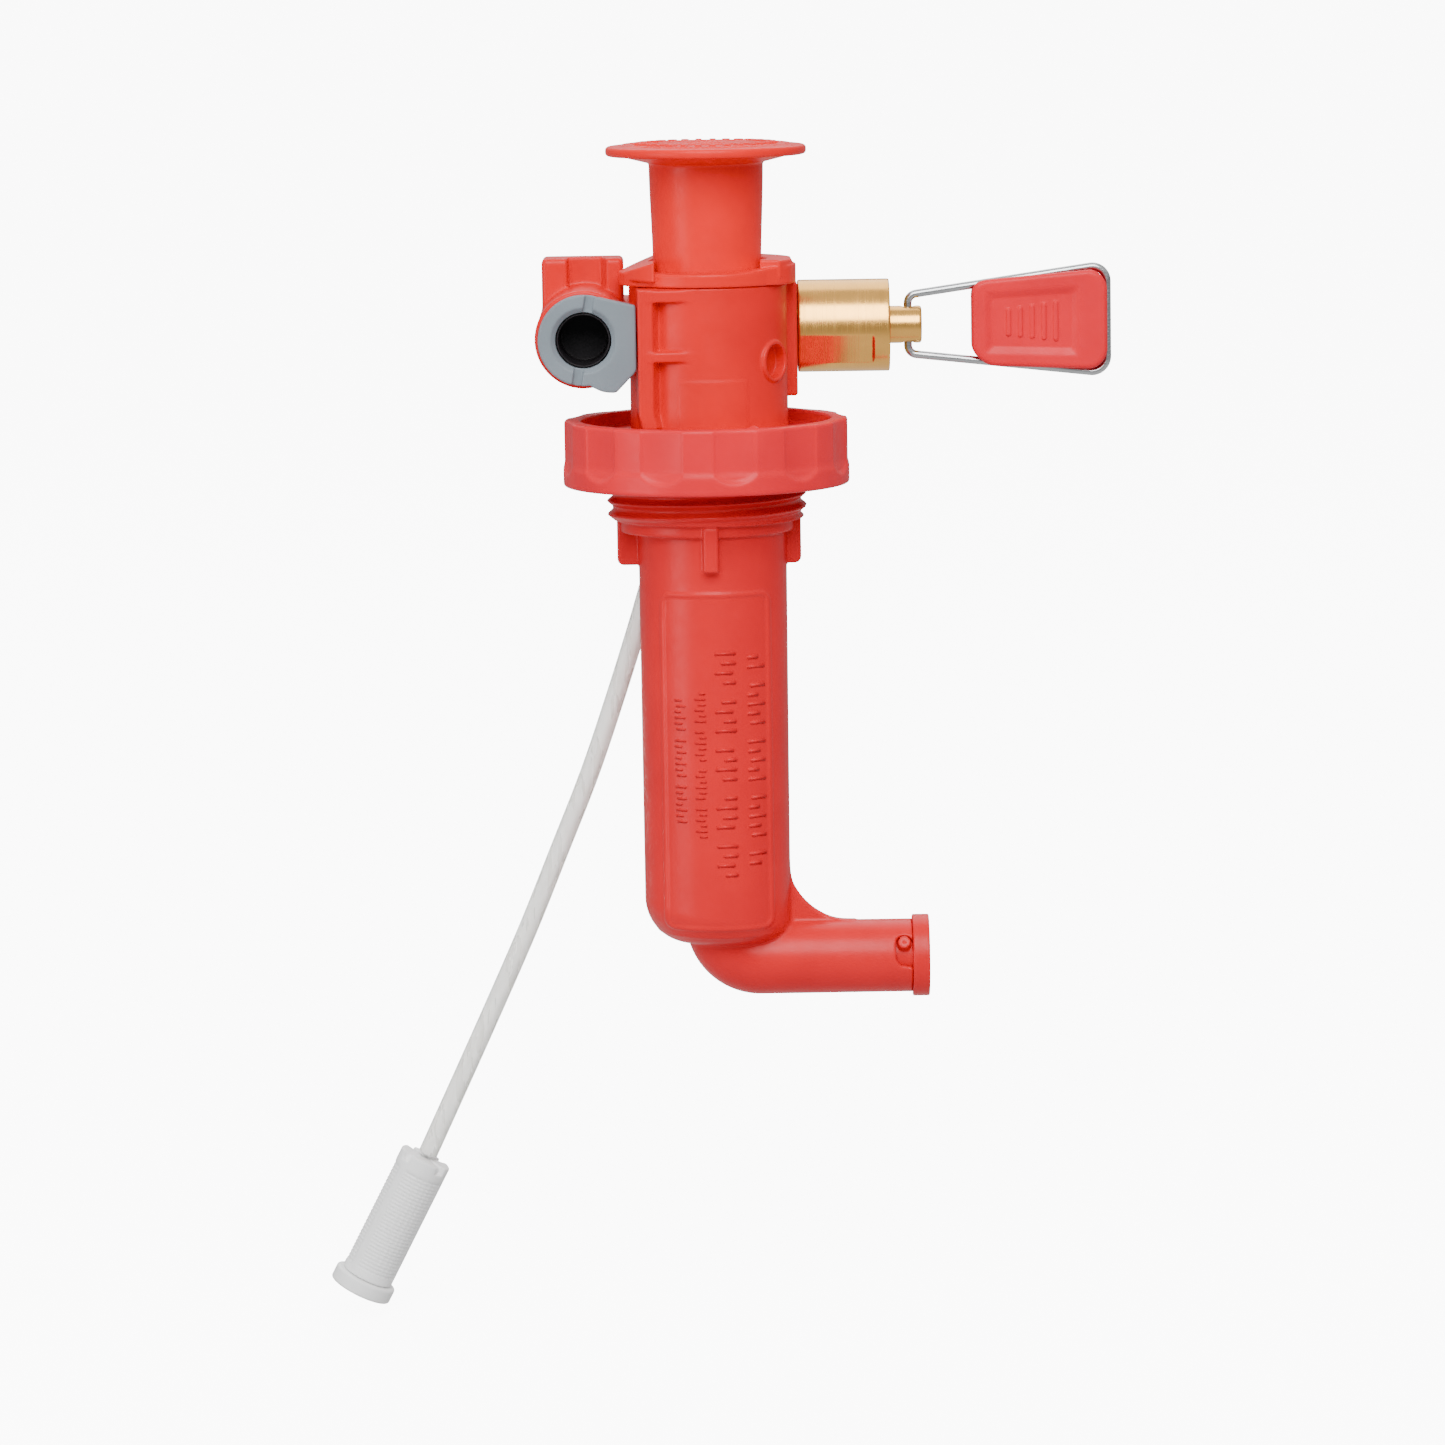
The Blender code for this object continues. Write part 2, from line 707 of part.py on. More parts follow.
def make_valve_nut():
    shoulder = BLOCK_RIGHT + 0.2
    nut = turned("valve_nut", [
        (7.0, NUT_END),
        (NUT_RADIUS, NUT_END - 0.4),
        (NUT_RADIUS, shoulder),
        (5.2, shoulder),
        (5.2, 13.7),
        (4.4, 13.7),
        (4.4, 12.1),
        (5.2, 12.1),
        (5.2, 7.5),
        (STEM_RADIUS + GAP, 7.5),
        (STEM_RADIUS + GAP, NUT_END),
    ], VALVE, ALONG_X, 24)
    cut(nut, nut_flat("nut_flat_front", shoulder, -60.0), nut_flat("nut_flat_back", shoulder, 120.0))
    return finish_piece(nut, BRASS, 0.28, 1.0)


def nut_flat(name, shoulder, angle):
    """A shallow flat milled along the nut, turned from the underside by an angle about X."""
    depth = 0.45
    collar = 2.7
    flat = block(name, (shoulder - 1.0, -10.0, -NUT_RADIUS - 4.0), (NUT_END - collar, 10.0, depth - NUT_RADIUS))
    turn = Matrix.Rotation(math.radians(angle), 3, "X")
    flat.rotation_euler = turn.to_euler()
    flat.location = turn @ flat.location + Vector(VALVE) * MM
    return flat


def make_nut_oring():
    ring = torus("nut_oring", 4.93, 0.48, (12.9, GALLERY_Y, GALLERY_Z), ALONG_X)
    return finish_piece(ring, BLACK, 0.5)


def make_valve_stem():
    stem = turned("valve_stem", [
        (0.0, STEM_END),
        (2.5, STEM_END),
        (STEM_RADIUS, STEM_END - 0.5),
        (STEM_RADIUS, 12.5),
        (2.2, 12.5),
        (2.2, 10.9),
        (STEM_RADIUS, 10.9),
        (STEM_RADIUS, 4.85),
        (1.0, 2.85),
        (0.0, 2.85),
    ], VALVE, ALONG_X, 20)
    hole = cylinder("bail_hole", WIRE_RADIUS + GAP, (CROSS_HOLE_X, GALLERY_Y, GALLERY_Z - 5),
                    (CROSS_HOLE_X, GALLERY_Y, GALLERY_Z + 5), 16)
    cut(stem, hole)
    return finish_piece(stem, BRASS, 0.28, 1.0)


def make_stem_oring():
    ring = torus("stem_oring", 2.79, 0.45, (11.7, GALLERY_Y, GALLERY_Z), ALONG_X)
    return finish_piece(ring, BLACK, 0.5)


def bail_outline():
    """Centreline of the wire in X and height: out of the stem, along both arms and round the end."""
    bend = 1.5
    corner = 2.4
    lean = math.degrees(math.atan2(BAIL_FAR - BAIL_NEAR, BAIL_END - CROSS_HOLE_X - bend))
    top = [(CROSS_HOLE_X, 0.35), (CROSS_HOLE_X, BAIL_NEAR - bend)]
    top += arc((CROSS_HOLE_X + bend, BAIL_NEAR - bend), bend, 180, 90 + lean, 5)[1:]
    top += arc((BAIL_END - corner, BAIL_FAR - corner), corner, 90 + lean, 0, 6)
    return raised(top + mirrored(top))


def mirrored(points):
    return [(x, -height) for x, height in reversed(points)]


def raised(points):
    """Points of the bail's plane, lifted in step with their way out from the stem."""
    return [(x, height + BAIL_RISE * (x - CROSS_HOLE_X)) for x, height in points]


def make_bail_wire():
    points = [(x, GALLERY_Y, GALLERY_Z + height) for x, height in bail_outline()]
    wire = rod("bail_wire", points, WIRE_RADIUS, sides=2)
    return finish_piece(wire, STEEL, 0.25, 1.0)


def make_bail_grip():
    left = 42.9
    right = 64.7
    upper = arc((left + 1.6, 5.4), 1.6, 180, 100, 5) + arc((right - 2.4, 6.0), 2.4, 92, 0, 5)
    place = (0.0, GALLERY_Y, GALLERY_Z)
    grip = plate("bail_grip", raised(upper + mirrored(upper)), 3.4, place, TO_FRONT)
    rim = [(45.4, 5.4), (59.6, 6.3)]
    panel = plate("grip_panel", raised(rim + mirrored(rim)), 4.4, place, TO_FRONT)
    join(grip, panel)
    points = [(x, GALLERY_Y, GALLERY_Z + height) for x, height in bail_outline()]
    channel = rod("wire_channel", points, WIRE_RADIUS + 0.3, sides=2)
    cut(grip, channel)
    return finish_piece(grip, RED, 0.45)


# ---------------------------------------------------------------- fuel port

def make_port_bushing():
    """Round face with a flat tab that keys it against the fin, and a sleeve in the port."""
    radius = 7.15
    face = -11.4
    tab_right = -10.7 - PORT_X
    outline = arc((0.0, 0.0), radius, 78, 290, 20)
    outline += [(2.4, -8.2), (5.1, -8.3), (tab_right, -4.9), (tab_right, 5.4)]
    bushing = plate("port_bushing", outline, 1.8, (PORT_X, face + 0.9, GALLERY_Z), TO_FRONT)
    sleeve = turned("port_sleeve", [
        (5.3, 10.4),
        (5.3, 4.0),
        (PORT_HOLE - 0.5, 4.0),
        (PORT_HOLE - 0.5, 10.4),
    ], (PORT_X, 0.0, GALLERY_Z), TO_FRONT, 24)
    bore = turned("port_hole", [
        (0.0, 12.0),
        (5.7, 12.0),
        (PORT_HOLE, 10.8),
        (PORT_HOLE, 3.0),
        (0.0, 3.0),
    ], (PORT_X, 0.0, GALLERY_Z), TO_FRONT, 24)
    slot = block("bushing_slot", (PORT_X - 0.75, face - 1.0, GALLERY_Z - 9),
                 (PORT_X + 0.75, face + 0.7, GALLERY_Z + 9))
    slot.rotation_euler = (0.0, math.radians(9.3), 0.0)
    join(bushing, sleeve)
    cut(bushing, bore, slot)
    return finish_piece(bushing, GREY, 0.45)


def make_port_seal():
    """Black sleeve that lines the port and narrows to the fuel passage at its back."""
    sleeve = PORT_HOLE - GAP
    seal = turned("port_seal", [
        (sleeve, 10.3),
        (sleeve, 3.7),
        (5.3, 3.7),
        (5.3, -3.7),
        (1.8, -3.7),
        (1.8, 1.5),
        (sleeve - 0.7, 3.5),
        (sleeve - 0.7, 10.3),
    ], (PORT_X, 0.0, GALLERY_Z), TO_FRONT, 24)
    return finish_piece(seal, BLACK, 0.6)


# ---------------------------------------------------------------- check valve

CHECK = (0.0, PUMP_Y, ELBOW_Z)
SEAT_END = 16.0
BALL_RADIUS = 2.6
BALL_X = 18.1


def make_check_cap():
    cap = turned("check_valve_cap", [
        (6.2, 34.6),
        (6.57, 34.2),
        (6.57, 32.2),
        (6.3, ELBOW_END + GAP),
        (CHAMBER_RADIUS - GAP, ELBOW_END + GAP),
        (CHAMBER_RADIUS - GAP, 23.5),
        (3.0, 23.5),
        (3.0, 30.5),
        (1.0, 30.5),
        (1.0, 34.6),
    ], CHECK, ALONG_X, 24)
    angle = math.radians(NUB_ANGLE)
    out = Vector((0.0, -math.cos(angle), math.sin(angle)))
    foot = Vector((NUB_X, PUMP_Y, ELBOW_Z))
    nub = cylinder("cap_nub", NUB_RADIUS, foot + out * 4.0, foot + out * 6.2, 20)
    join(cap, nub)
    return finish_piece(cap, RED, 0.42)


def make_check_seat():
    seat = turned("check_valve_seat", [(4.6, SEAT_END), (4.6, 14.0), (1.9, 14.0), (1.9, SEAT_END)],
                  CHECK, ALONG_X, 20)
    return finish_piece(seat, BLACK, 0.55)


def make_check_ball():
    shape = bmesh.new()
    bmesh.ops.create_uvsphere(shape, u_segments=14, v_segments=8, radius=BALL_RADIUS * MM)
    mesh = bpy.data.meshes.new("check_valve_ball")
    shape.to_mesh(mesh)
    shape.free()
    ball = place_mesh("check_valve_ball", mesh, (BALL_X, PUMP_Y, ELBOW_Z), ALONG_X)
    return finish_piece(ball, STEEL, 0.2, 1.0)


def make_check_spring():
    turns = 5
    per_turn = 10
    radius = 2.2
    wire = 0.25
    start = BALL_X + BALL_RADIUS + GAP + wire
    end = 30.0
    count = turns * per_turn
    points = []
    for index in range(count + 1):
        angle = 2 * math.pi * index / per_turn
        along = start + (end - start) * index / count
        points.append((along, PUMP_Y + radius * math.cos(angle), ELBOW_Z + radius * math.sin(angle)))
    spring = rod("check_valve_spring", points, wire, sides=2)
    return finish_piece(spring, STEEL, 0.3, 1.0)


# ---------------------------------------------------------------- suction line

def make_nipple():
    nipple = turned("suction_nipple", [
        (0.9, -9.0),
        (0.9, COLLAR_BOTTOM - GAP),
        (1.5, COLLAR_BOTTOM - GAP),
        (1.3, -14.0),
        (0.5, -14.0),
        (0.5, -9.0),
    ], (*FUEL_PASSAGE, 0.0), steps=20)
    return finish_piece(nipple, BRASS, 0.3, 1.0)


def make_suction_tube():
    tube = rod("suction_tube", smooth_route(TUBE_ROUTE, TUBE_STEP), TUBE_RADIUS, sides=2)
    return finish_piece(tube, CLEAR_WHITE, 0.35)


def make_filter():
    """Hollow filter body; its profile's heights run down from the tube's end."""
    body = turned("suction_filter", [
        (3.5, 0.0),
        (FILTER_RADIUS, -0.6),
        (FILTER_RADIUS, -FILTER_LENGTH),
        (2.8, -FILTER_LENGTH),
        (2.8, -3.0),
        (0.8, -3.0),
        (0.8, 0.0),
    ], FILTER_TOP, (0.0, FILTER_TILT, 0.0), 20)
    return finish_piece(body, WHITE, 0.6)


def make_filter_cap():
    top = -FILTER_LENGTH - GAP
    cap = turned("filter_cap", [
        (0.0, top + 2.2),
        (2.5, top + 2.2),
        (2.5, top),
        (4.9, top),
        (4.9, top - 2.3),
        (0.0, top - 2.3),
    ], FILTER_TOP, (0.0, FILTER_TILT, 0.0), 20)
    return finish_piece(cap, WHITE, 0.5)


# ---------------------------------------------------------------- assembly

clear_scene()
PARTS = new_collection("fuel_bottle_pump")
TOOLS = new_collection("cutters")

make_barrel()
make_grip_ring()
make_gasket()
make_head()
make_port_bushing()
make_port_seal()
make_valve_nut()
make_nut_oring()
make_check_seat()
make_nipple()
make_suction_tube()
make_filter()
make_filter_cap()

pivot("plunger_axis", (PUMP_X, PUMP_Y, 0.0), make_cup(), make_cup_retainer(), make_shaft(), make_knob())
pivot("bushing_axis", (PUMP_X, PUMP_Y, 0.0), make_bushing())
valve_axis = pivot("valve_axis", VALVE, make_stem_oring(), make_valve_stem())
bail_axis = pivot("bail_axis", (CROSS_HOLE_X, GALLERY_Y, GALLERY_Z), make_bail_wire(), make_bail_grip())
bail_axis.parent = valve_axis
bail_axis.matrix_parent_inverse = valve_axis.matrix_world.inverted()
pivot("check_cap_axis", CHECK, make_check_cap())
pivot("check_ball_axis", CHECK, make_check_ball(), make_check_spring())
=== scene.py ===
import json
import math

import bmesh
import bpy
import numpy as np
from mathutils import Matrix, Vector


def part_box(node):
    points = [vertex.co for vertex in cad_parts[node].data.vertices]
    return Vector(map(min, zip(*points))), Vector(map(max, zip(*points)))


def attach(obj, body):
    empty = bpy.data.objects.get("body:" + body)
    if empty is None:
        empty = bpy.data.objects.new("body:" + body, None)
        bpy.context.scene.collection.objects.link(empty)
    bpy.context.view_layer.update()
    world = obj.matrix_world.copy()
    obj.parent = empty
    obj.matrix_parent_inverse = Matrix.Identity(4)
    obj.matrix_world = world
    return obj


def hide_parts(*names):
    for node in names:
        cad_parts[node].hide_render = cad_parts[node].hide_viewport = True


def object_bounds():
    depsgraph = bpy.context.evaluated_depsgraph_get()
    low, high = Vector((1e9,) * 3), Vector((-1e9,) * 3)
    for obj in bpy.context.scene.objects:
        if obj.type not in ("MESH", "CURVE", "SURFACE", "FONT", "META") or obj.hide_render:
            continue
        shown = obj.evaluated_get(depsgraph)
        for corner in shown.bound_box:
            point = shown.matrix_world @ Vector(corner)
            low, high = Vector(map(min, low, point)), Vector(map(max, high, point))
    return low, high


# Looks of a hand plunger pump for a fuel bottle. Sizes are in millimetres unless a name says
# otherwise; MM turns them into the scene's metres.
MM = 0.001

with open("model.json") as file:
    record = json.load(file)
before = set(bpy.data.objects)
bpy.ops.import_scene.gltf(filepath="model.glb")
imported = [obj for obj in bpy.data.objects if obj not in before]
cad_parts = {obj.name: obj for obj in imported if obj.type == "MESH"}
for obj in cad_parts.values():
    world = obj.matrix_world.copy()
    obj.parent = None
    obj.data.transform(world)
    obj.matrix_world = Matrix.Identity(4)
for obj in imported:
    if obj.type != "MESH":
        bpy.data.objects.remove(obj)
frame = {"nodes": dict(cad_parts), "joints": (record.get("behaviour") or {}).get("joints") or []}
CAD_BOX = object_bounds()


# ---------------------------------------------------------------- places from the frame

def joint_place(name):
    """A joint's place in millimetres."""
    for joint in frame["joints"]:
        if joint["name"] == name:
            return [value / MM for value in joint["pos_m"]]
    raise KeyError(name)


def node_box(name):
    low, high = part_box(name)
    return [value / MM for value in low], [value / MM for value in high]


def middle(name):
    low, high = node_box(name)
    return [(a + b) / 2 for a, b in zip(low, high)]


PUMP_X, PUMP_Y, _ = joint_place("plunger_spin")
HINGE_X, VALVE_Y, VALVE_Z = joint_place("bail_swing")
_, CHECK_Y, CHECK_Z = joint_place("check_cap_turn")
PORT_X, _, PORT_Z = middle("port_seal")
NIPPLE_X, NIPPLE_Y, _ = middle("suction_nipple")
RING_LOW, RING_HIGH = node_box("grip_ring")
BARREL_LOW, BARREL_HIGH = node_box("pump_barrel")
HEAD_LOW, HEAD_HIGH = node_box("pump_head")
KNOB_LOW, KNOB_HIGH = node_box("plunger_knob")
BUSHING_LOW, BUSHING_HIGH = node_box("plunger_bushing")
NUT_LOW, NUT_HIGH = node_box("valve_nut")
STEM_LOW, STEM_HIGH = node_box("valve_stem")
CAP_LOW, CAP_HIGH = node_box("check_valve_cap")
GRIP_LOW, GRIP_HIGH = node_box("bail_grip")
SHAFT_LOW, SHAFT_HIGH = node_box("plunger_shaft")

BORE_RADIUS = 9.5
HEAD_RADIUS = 12.5
MM_PER_DEGREE = 0.18           # about, at the bayonet's radius


def add_object(name, data):
    piece = bpy.data.objects.new(name, data)
    bpy.context.scene.collection.objects.link(piece)
    return piece


# ---------------------------------------------------------------- camera

CAMERA_DISTANCE = 963.0
CAMERA_ELEVATION = 8.0         # degrees above the level
CAMERA_ROLL = 0.85             # degrees
CAMERA_AIM = (1.95, 0.0, -43.3)
CAMERA_LENS = 149.94
CAMERA_SENSOR = 36.0
CAMERA_REACH = 100.0           # metres


def make_camera():
    elevation = math.radians(CAMERA_ELEVATION)
    forward = Vector((0.0, math.cos(elevation), -math.sin(elevation)))
    across = Vector((1.0, 0.0, 0.0))
    upward = across.cross(forward)
    roll = math.radians(CAMERA_ROLL)
    right = across * math.cos(roll) - upward * math.sin(roll)
    top = across * math.sin(roll) + upward * math.cos(roll)
    data = bpy.data.cameras.new("camera")
    data.lens = CAMERA_LENS
    data.sensor_width = CAMERA_SENSOR
    data.clip_end = CAMERA_REACH
    camera = add_object("camera", data)
    turn = Matrix((right, top, -forward)).transposed().to_4x4()
    place = Vector(CAMERA_AIM) * MM - forward * CAMERA_DISTANCE * MM
    camera.matrix_world = Matrix.Translation(place) @ turn
    bpy.context.scene.camera = camera


# ---------------------------------------------------------------- distance fields
# Each form is a function of coordinate arrays that gives the distance to its surface, below 0
# inside. Forms are blended with small fillets, as in a moulding, and then meshed.

def clamp(value, low=0.0, high=1.0):
    return np.minimum(np.maximum(value, low), high)


def smooth_step(value, low, high):
    t = clamp((value - low) / (high - low))
    return t * t * (3.0 - 2.0 * t)


def from_axis(a, b):
    """Distance to an axis, from the two coordinates across it."""
    return np.sqrt(a ** 2 + b ** 2)


def about_pump(x, y):
    """Coordinates across the pump's axis, and the distance to it."""
    px = x - PUMP_X
    py = y - PUMP_Y
    return px, py, from_axis(px, py)


def union(first, second, fillet=0.3):
    overlap = np.maximum(fillet - np.abs(first - second), 0.0) / fillet
    return np.minimum(first, second) - overlap * overlap * fillet * 0.25


def common(first, second, fillet=0.3):
    return -union(-first, -second, fillet)


def without(first, second, fillet=0.3):
    return common(first, -second, fillet)


def rounded(first, second, edge):
    """Where two distances are both inside, with a round edge between them."""
    a = first + edge
    b = second + edge
    outside = from_axis(np.maximum(a, 0.0), np.maximum(b, 0.0))
    return outside + np.minimum(np.maximum(a, b), 0.0) - edge


def slab(value, low, high):
    return np.abs(value - (low + high) / 2) - (high - low) / 2


def drum(radial, height, radius, low, high, edge=0.3):
    """A cylinder with round edges, from a distance to its axis and a height."""
    return rounded(radial - radius, slab(height, low, high), edge)


def brick(x, y, z, low, high, edge=0.3):
    """A box with round edges, from its low and high corners."""
    a = slab(x, low[0], high[0]) + edge
    b = slab(y, low[1], high[1]) + edge
    c = slab(z, low[2], high[2]) + edge
    outside = np.sqrt(np.maximum(a, 0.0) ** 2 + np.maximum(b, 0.0) ** 2 + np.maximum(c, 0.0) ** 2)
    return outside + np.minimum(np.maximum(np.maximum(a, b), c), 0.0) - edge


def panel(x, y, half_x, half_y, corner):
    """Distance to a rectangle with round corners, in a plane."""
    return rounded(np.abs(x) - half_x, np.abs(y) - half_y, corner)


def convex(x, y, corners, edge=0.3):
    """Distance to a flat convex outline whose corners run anticlockwise."""
    distance = None
    for (x0, y0), (x1, y1) in zip(corners, corners[1:] + corners[:1]):
        length = math.hypot(x1 - x0, y1 - y0)
        side = ((x - x0) * (y1 - y0) - (y - y0) * (x1 - x0)) / length
        distance = side if distance is None else common(distance, side, edge)
    return distance


def nearest_squared(x, y, segments):
    """Squared distance to the nearest of some straight segments in a plane."""
    nearest = None
    for (x0, y0), (x1, y1) in segments:
        dx = x1 - x0
        dy = y1 - y0
        t = clamp(((x - x0) * dx + (y - y0) * dy) / (dx * dx + dy * dy))
        squared = (x - x0 - dx * t) ** 2 + (y - y0 - dy * t) ** 2
        nearest = squared if nearest is None else np.minimum(nearest, squared)
    return nearest


def turned_profile(radial, height, profile):
    """Distance to a closed profile of (radius, height) points, turned about the axis."""
    segments = list(zip(profile, profile[1:] + profile[:1]))
    nearest = nearest_squared(radial, height, segments)
    inside = np.zeros(radial.shape, bool)
    for (r0, h0), (r1, h1) in segments:
        if h0 != h1:
            crosses = (h0 > height) != (h1 > height)
            inside ^= crosses & (radial < r0 + (r1 - r0) * (height - h0) / (h1 - h0))
    return np.where(inside, -1.0, 1.0) * np.sqrt(nearest)


CELL_CORNERS = [(i, j, k) for i in (0, 1) for j in (0, 1) for k in (0, 1)]


def cell_corners(values):
    """The grid's values at each of the eight corners of its cells."""
    a, b, c = (count - 1 for count in values.shape)
    return [values[i:a + i, j:b + j, k:c + k] for i, j, k in CELL_CORNERS]


SLOPE_STEP = 0.02              # mm between samples of a field's slope
SETTLE_PASSES = 3
SETTLE_REACH = 0.45            # of a cell, the furthest a vertex moves in one pass


def surface_net(field, low, high, cell):
    """Vertices and four-sided faces of the surface where the field is 0."""
    axes = [np.arange(a - 1.5 * cell, b + 2.5 * cell, cell) for a, b in zip(low, high)]
    grid = np.meshgrid(*axes, indexing="ij")
    values = field(*grid)
    corners = cell_corners(values)
    signs = [corner < 0 for corner in corners]
    full = signs[0].copy()
    some = signs[0].copy()
    for sign in signs[1:]:
        full &= sign
        some |= sign
    active = some & ~full
    number = np.full(active.shape, -1, np.int64)
    number[active] = np.arange(active.sum())
    cells = np.argwhere(active)
    samples = [corner[active] for corner in corners]
    total = np.zeros((len(cells), 3))
    count = np.zeros(len(cells))
    for a, first in enumerate(CELL_CORNERS):
        for b, second in enumerate(CELL_CORNERS):
            if b <= a or sum(abs(p - q) for p, q in zip(first, second)) != 1:
                continue
            cross = (samples[a] < 0) != (samples[b] < 0)
            span = samples[a] - samples[b]
            t = np.where(cross, samples[a] / np.where(cross, span, 1.0), 0.0)
            at = np.array(first) + t[:, None] * (np.array(second) - np.array(first))
            total += np.where(cross[:, None], at, 0.0)
            count += cross
    origin = np.array([axis[0] for axis in axes])
    vertices = origin + cell * (cells + total / count[:, None])
    vertices = settle(field, vertices, cell)
    faces = []
    for axis in range(3):
        one = (axis + 1) % 3
        two = (axis + 2) % 3
        front = [slice(1, -1)] * 3
        front[axis] = slice(0, -1)
        back = list(front)
        back[axis] = slice(1, None)
        start = values[tuple(front)] < 0
        end = values[tuple(back)] < 0
        edges = np.argwhere(start != end)
        outward = start[start != end]
        base = edges + 1
        base[:, axis] -= 1
        ring = []
        for step_one, step_two in ((-1, -1), (0, -1), (0, 0), (-1, 0)):
            at = base.copy()
            at[:, one] += step_one
            at[:, two] += step_two
            ring.append(number[at[:, 0], at[:, 1], at[:, 2]])
        quads = np.stack(ring, 1)
        quads[~outward] = quads[~outward][:, ::-1]
        faces.append(quads)
    return vertices, np.concatenate(faces)


def settle(field, vertices, cell):
    """Move vertices onto the exact surface along the field's slope."""
    step = SLOPE_STEP
    for _ in range(SETTLE_PASSES):
        x, y, z = vertices.T
        here = field(x, y, z)
        slope = np.stack([
            (field(x + step, y, z) - here) / step,
            (field(x, y + step, z) - here) / step,
            (field(x, y, z + step) - here) / step,
        ], 1)
        size = np.maximum((slope ** 2).sum(1), 0.2)
        move = -slope * (here / size)[:, None]
        length = np.linalg.norm(move, axis=1)
        limit = SETTLE_REACH * cell / np.maximum(length, 1e-9)
        vertices = vertices + move * np.minimum(limit, 1.0)[:, None]
    return vertices


def mesh_from_arrays(name, vertices, faces):
    mesh = bpy.data.meshes.new(name)
    mesh.vertices.add(len(vertices))
    mesh.vertices.foreach_set("co", (vertices * MM).astype(np.float32).ravel())
    mesh.loops.add(faces.size)
    mesh.loops.foreach_set("vertex_index", faces.astype(np.int32).ravel())
    mesh.polygons.add(len(faces))
    starts = np.arange(0, faces.size, faces.shape[1], dtype=np.int32)
    mesh.polygons.foreach_set("loop_start", starts)
    mesh.update(calc_edges=True)
    mesh.validate()
    mesh.shade_smooth()
    return mesh


def moulding(name, field, low, high, cell, body, material, slot, *nodes):
    """Mesh a field and put it in place of its CAD nodes."""
    vertices, faces = surface_net(field, low, high, cell)
    piece = add_object(name, mesh_from_arrays(name, vertices, faces))
    return dress(piece, body, material, slot, *nodes)


def dress(piece, body, material, slot, *nodes):
    """Give a piece its material and its body, and hide the nodes that it stands for."""
    piece.data.materials.clear()
    piece.data.materials.append(material)
    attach(piece, body)
    if nodes:
        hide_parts(*nodes)
    return piece


# ---------------------------------------------------------------- materials

def shader_of(name, colour, roughness, metallic=0.0):
    material = bpy.data.materials.new(name)
    material.use_nodes = True
    shader = material.node_tree.nodes["Principled BSDF"]
    shader.inputs["Base Color"].default_value = (*colour, 1.0)
    shader.inputs["Roughness"].default_value = roughness
    shader.inputs["Metallic"].default_value = metallic
    return material, material.node_tree, shader


def place_node(tree, stretch=(1.0, 1.0, 1.0)):
    """Object coordinates in millimetres, optionally stretched."""
    source = tree.nodes.new("ShaderNodeTexCoord")
    mapping = tree.nodes.new("ShaderNodeMapping")
    mapping.inputs["Scale"].default_value = [value / MM for value in stretch]
    tree.links.new(source.outputs["Object"], mapping.inputs["Vector"])
    return mapping.outputs["Vector"]


def noise_node(tree, vector, scale, detail=3.0):
    noise = tree.nodes.new("ShaderNodeTexNoise")
    noise.inputs["Scale"].default_value = scale
    noise.inputs["Detail"].default_value = detail
    tree.links.new(vector, noise.inputs["Vector"])
    return noise.outputs["Fac"]


def ranged(tree, value, low, high, start=0.3, end=0.7):
    node = tree.nodes.new("ShaderNodeMapRange")
    node.inputs["From Min"].default_value = start
    node.inputs["From Max"].default_value = end
    node.inputs["To Min"].default_value = low
    node.inputs["To Max"].default_value = high
    tree.links.new(value, node.inputs["Value"])
    return node.outputs["Result"]


def base_colours(tree, shader, pattern, first, second):
    """Base colour that wanders between two colours with a pattern."""
    node = tree.nodes.new("ShaderNodeMix")
    node.data_type = "RGBA"
    node.inputs["A"].default_value = (*first, 1.0)
    node.inputs["B"].default_value = (*second, 1.0)
    tree.links.new(ranged(tree, pattern, 0.0, 1.0), node.inputs["Factor"])
    tree.links.new(node.outputs["Result"], shader.inputs["Base Color"])


def bump_node(tree, height, strength, depth, normal=None):
    node = tree.nodes.new("ShaderNodeBump")
    node.inputs["Strength"].default_value = strength
    node.inputs["Distance"].default_value = depth * MM
    tree.links.new(height, node.inputs["Height"])
    if normal:
        tree.links.new(normal, node.inputs["Normal"])
    return node.outputs["Normal"]


def surface(tree, shader, pattern, roughness, strength, depth):
    """Roughness between two values, and bump, that follow one pattern."""
    tree.links.new(ranged(tree, pattern, *roughness), shader.inputs["Roughness"])
    tree.links.new(bump_node(tree, pattern, strength, depth), shader.inputs["Normal"])


def light_under_skin(shader, weight, radius, scale):
    shader.inputs["Subsurface Weight"].default_value = weight
    shader.inputs["Subsurface Radius"].default_value = radius
    shader.inputs["Subsurface Scale"].default_value = scale * MM


def shade(colour, factor):
    return tuple(min(channel * factor, 1.0) for channel in colour)


def moulded_plastic(name, colour, roughness, glow=0.10, grain=0.012):
    """Satin moulded plastic: slow colour drift, fine grain and a little light under the skin."""
    material, tree, shader = shader_of(name, colour, roughness)
    place = place_node(tree)
    drift = noise_node(tree, place, 0.09, 2.0)
    base_colours(tree, shader, drift, shade(colour, 0.93), shade(colour, 1.06))
    patches = noise_node(tree, place, 0.6, 4.0)
    tree.links.new(ranged(tree, patches, roughness - 0.05, roughness + 0.06),
                   shader.inputs["Roughness"])
    fine = bump_node(tree, noise_node(tree, place, 5.0, 3.0), 0.5, grain)
    waves = bump_node(tree, noise_node(tree, place, 0.22, 2.0), 0.35, 0.10, fine)
    tree.links.new(waves, shader.inputs["Normal"])
    shader.inputs["Specular IOR Level"].default_value = 0.22
    light_under_skin(shader, glow, (1.0, 0.22, 0.14), 1.6)
    return material


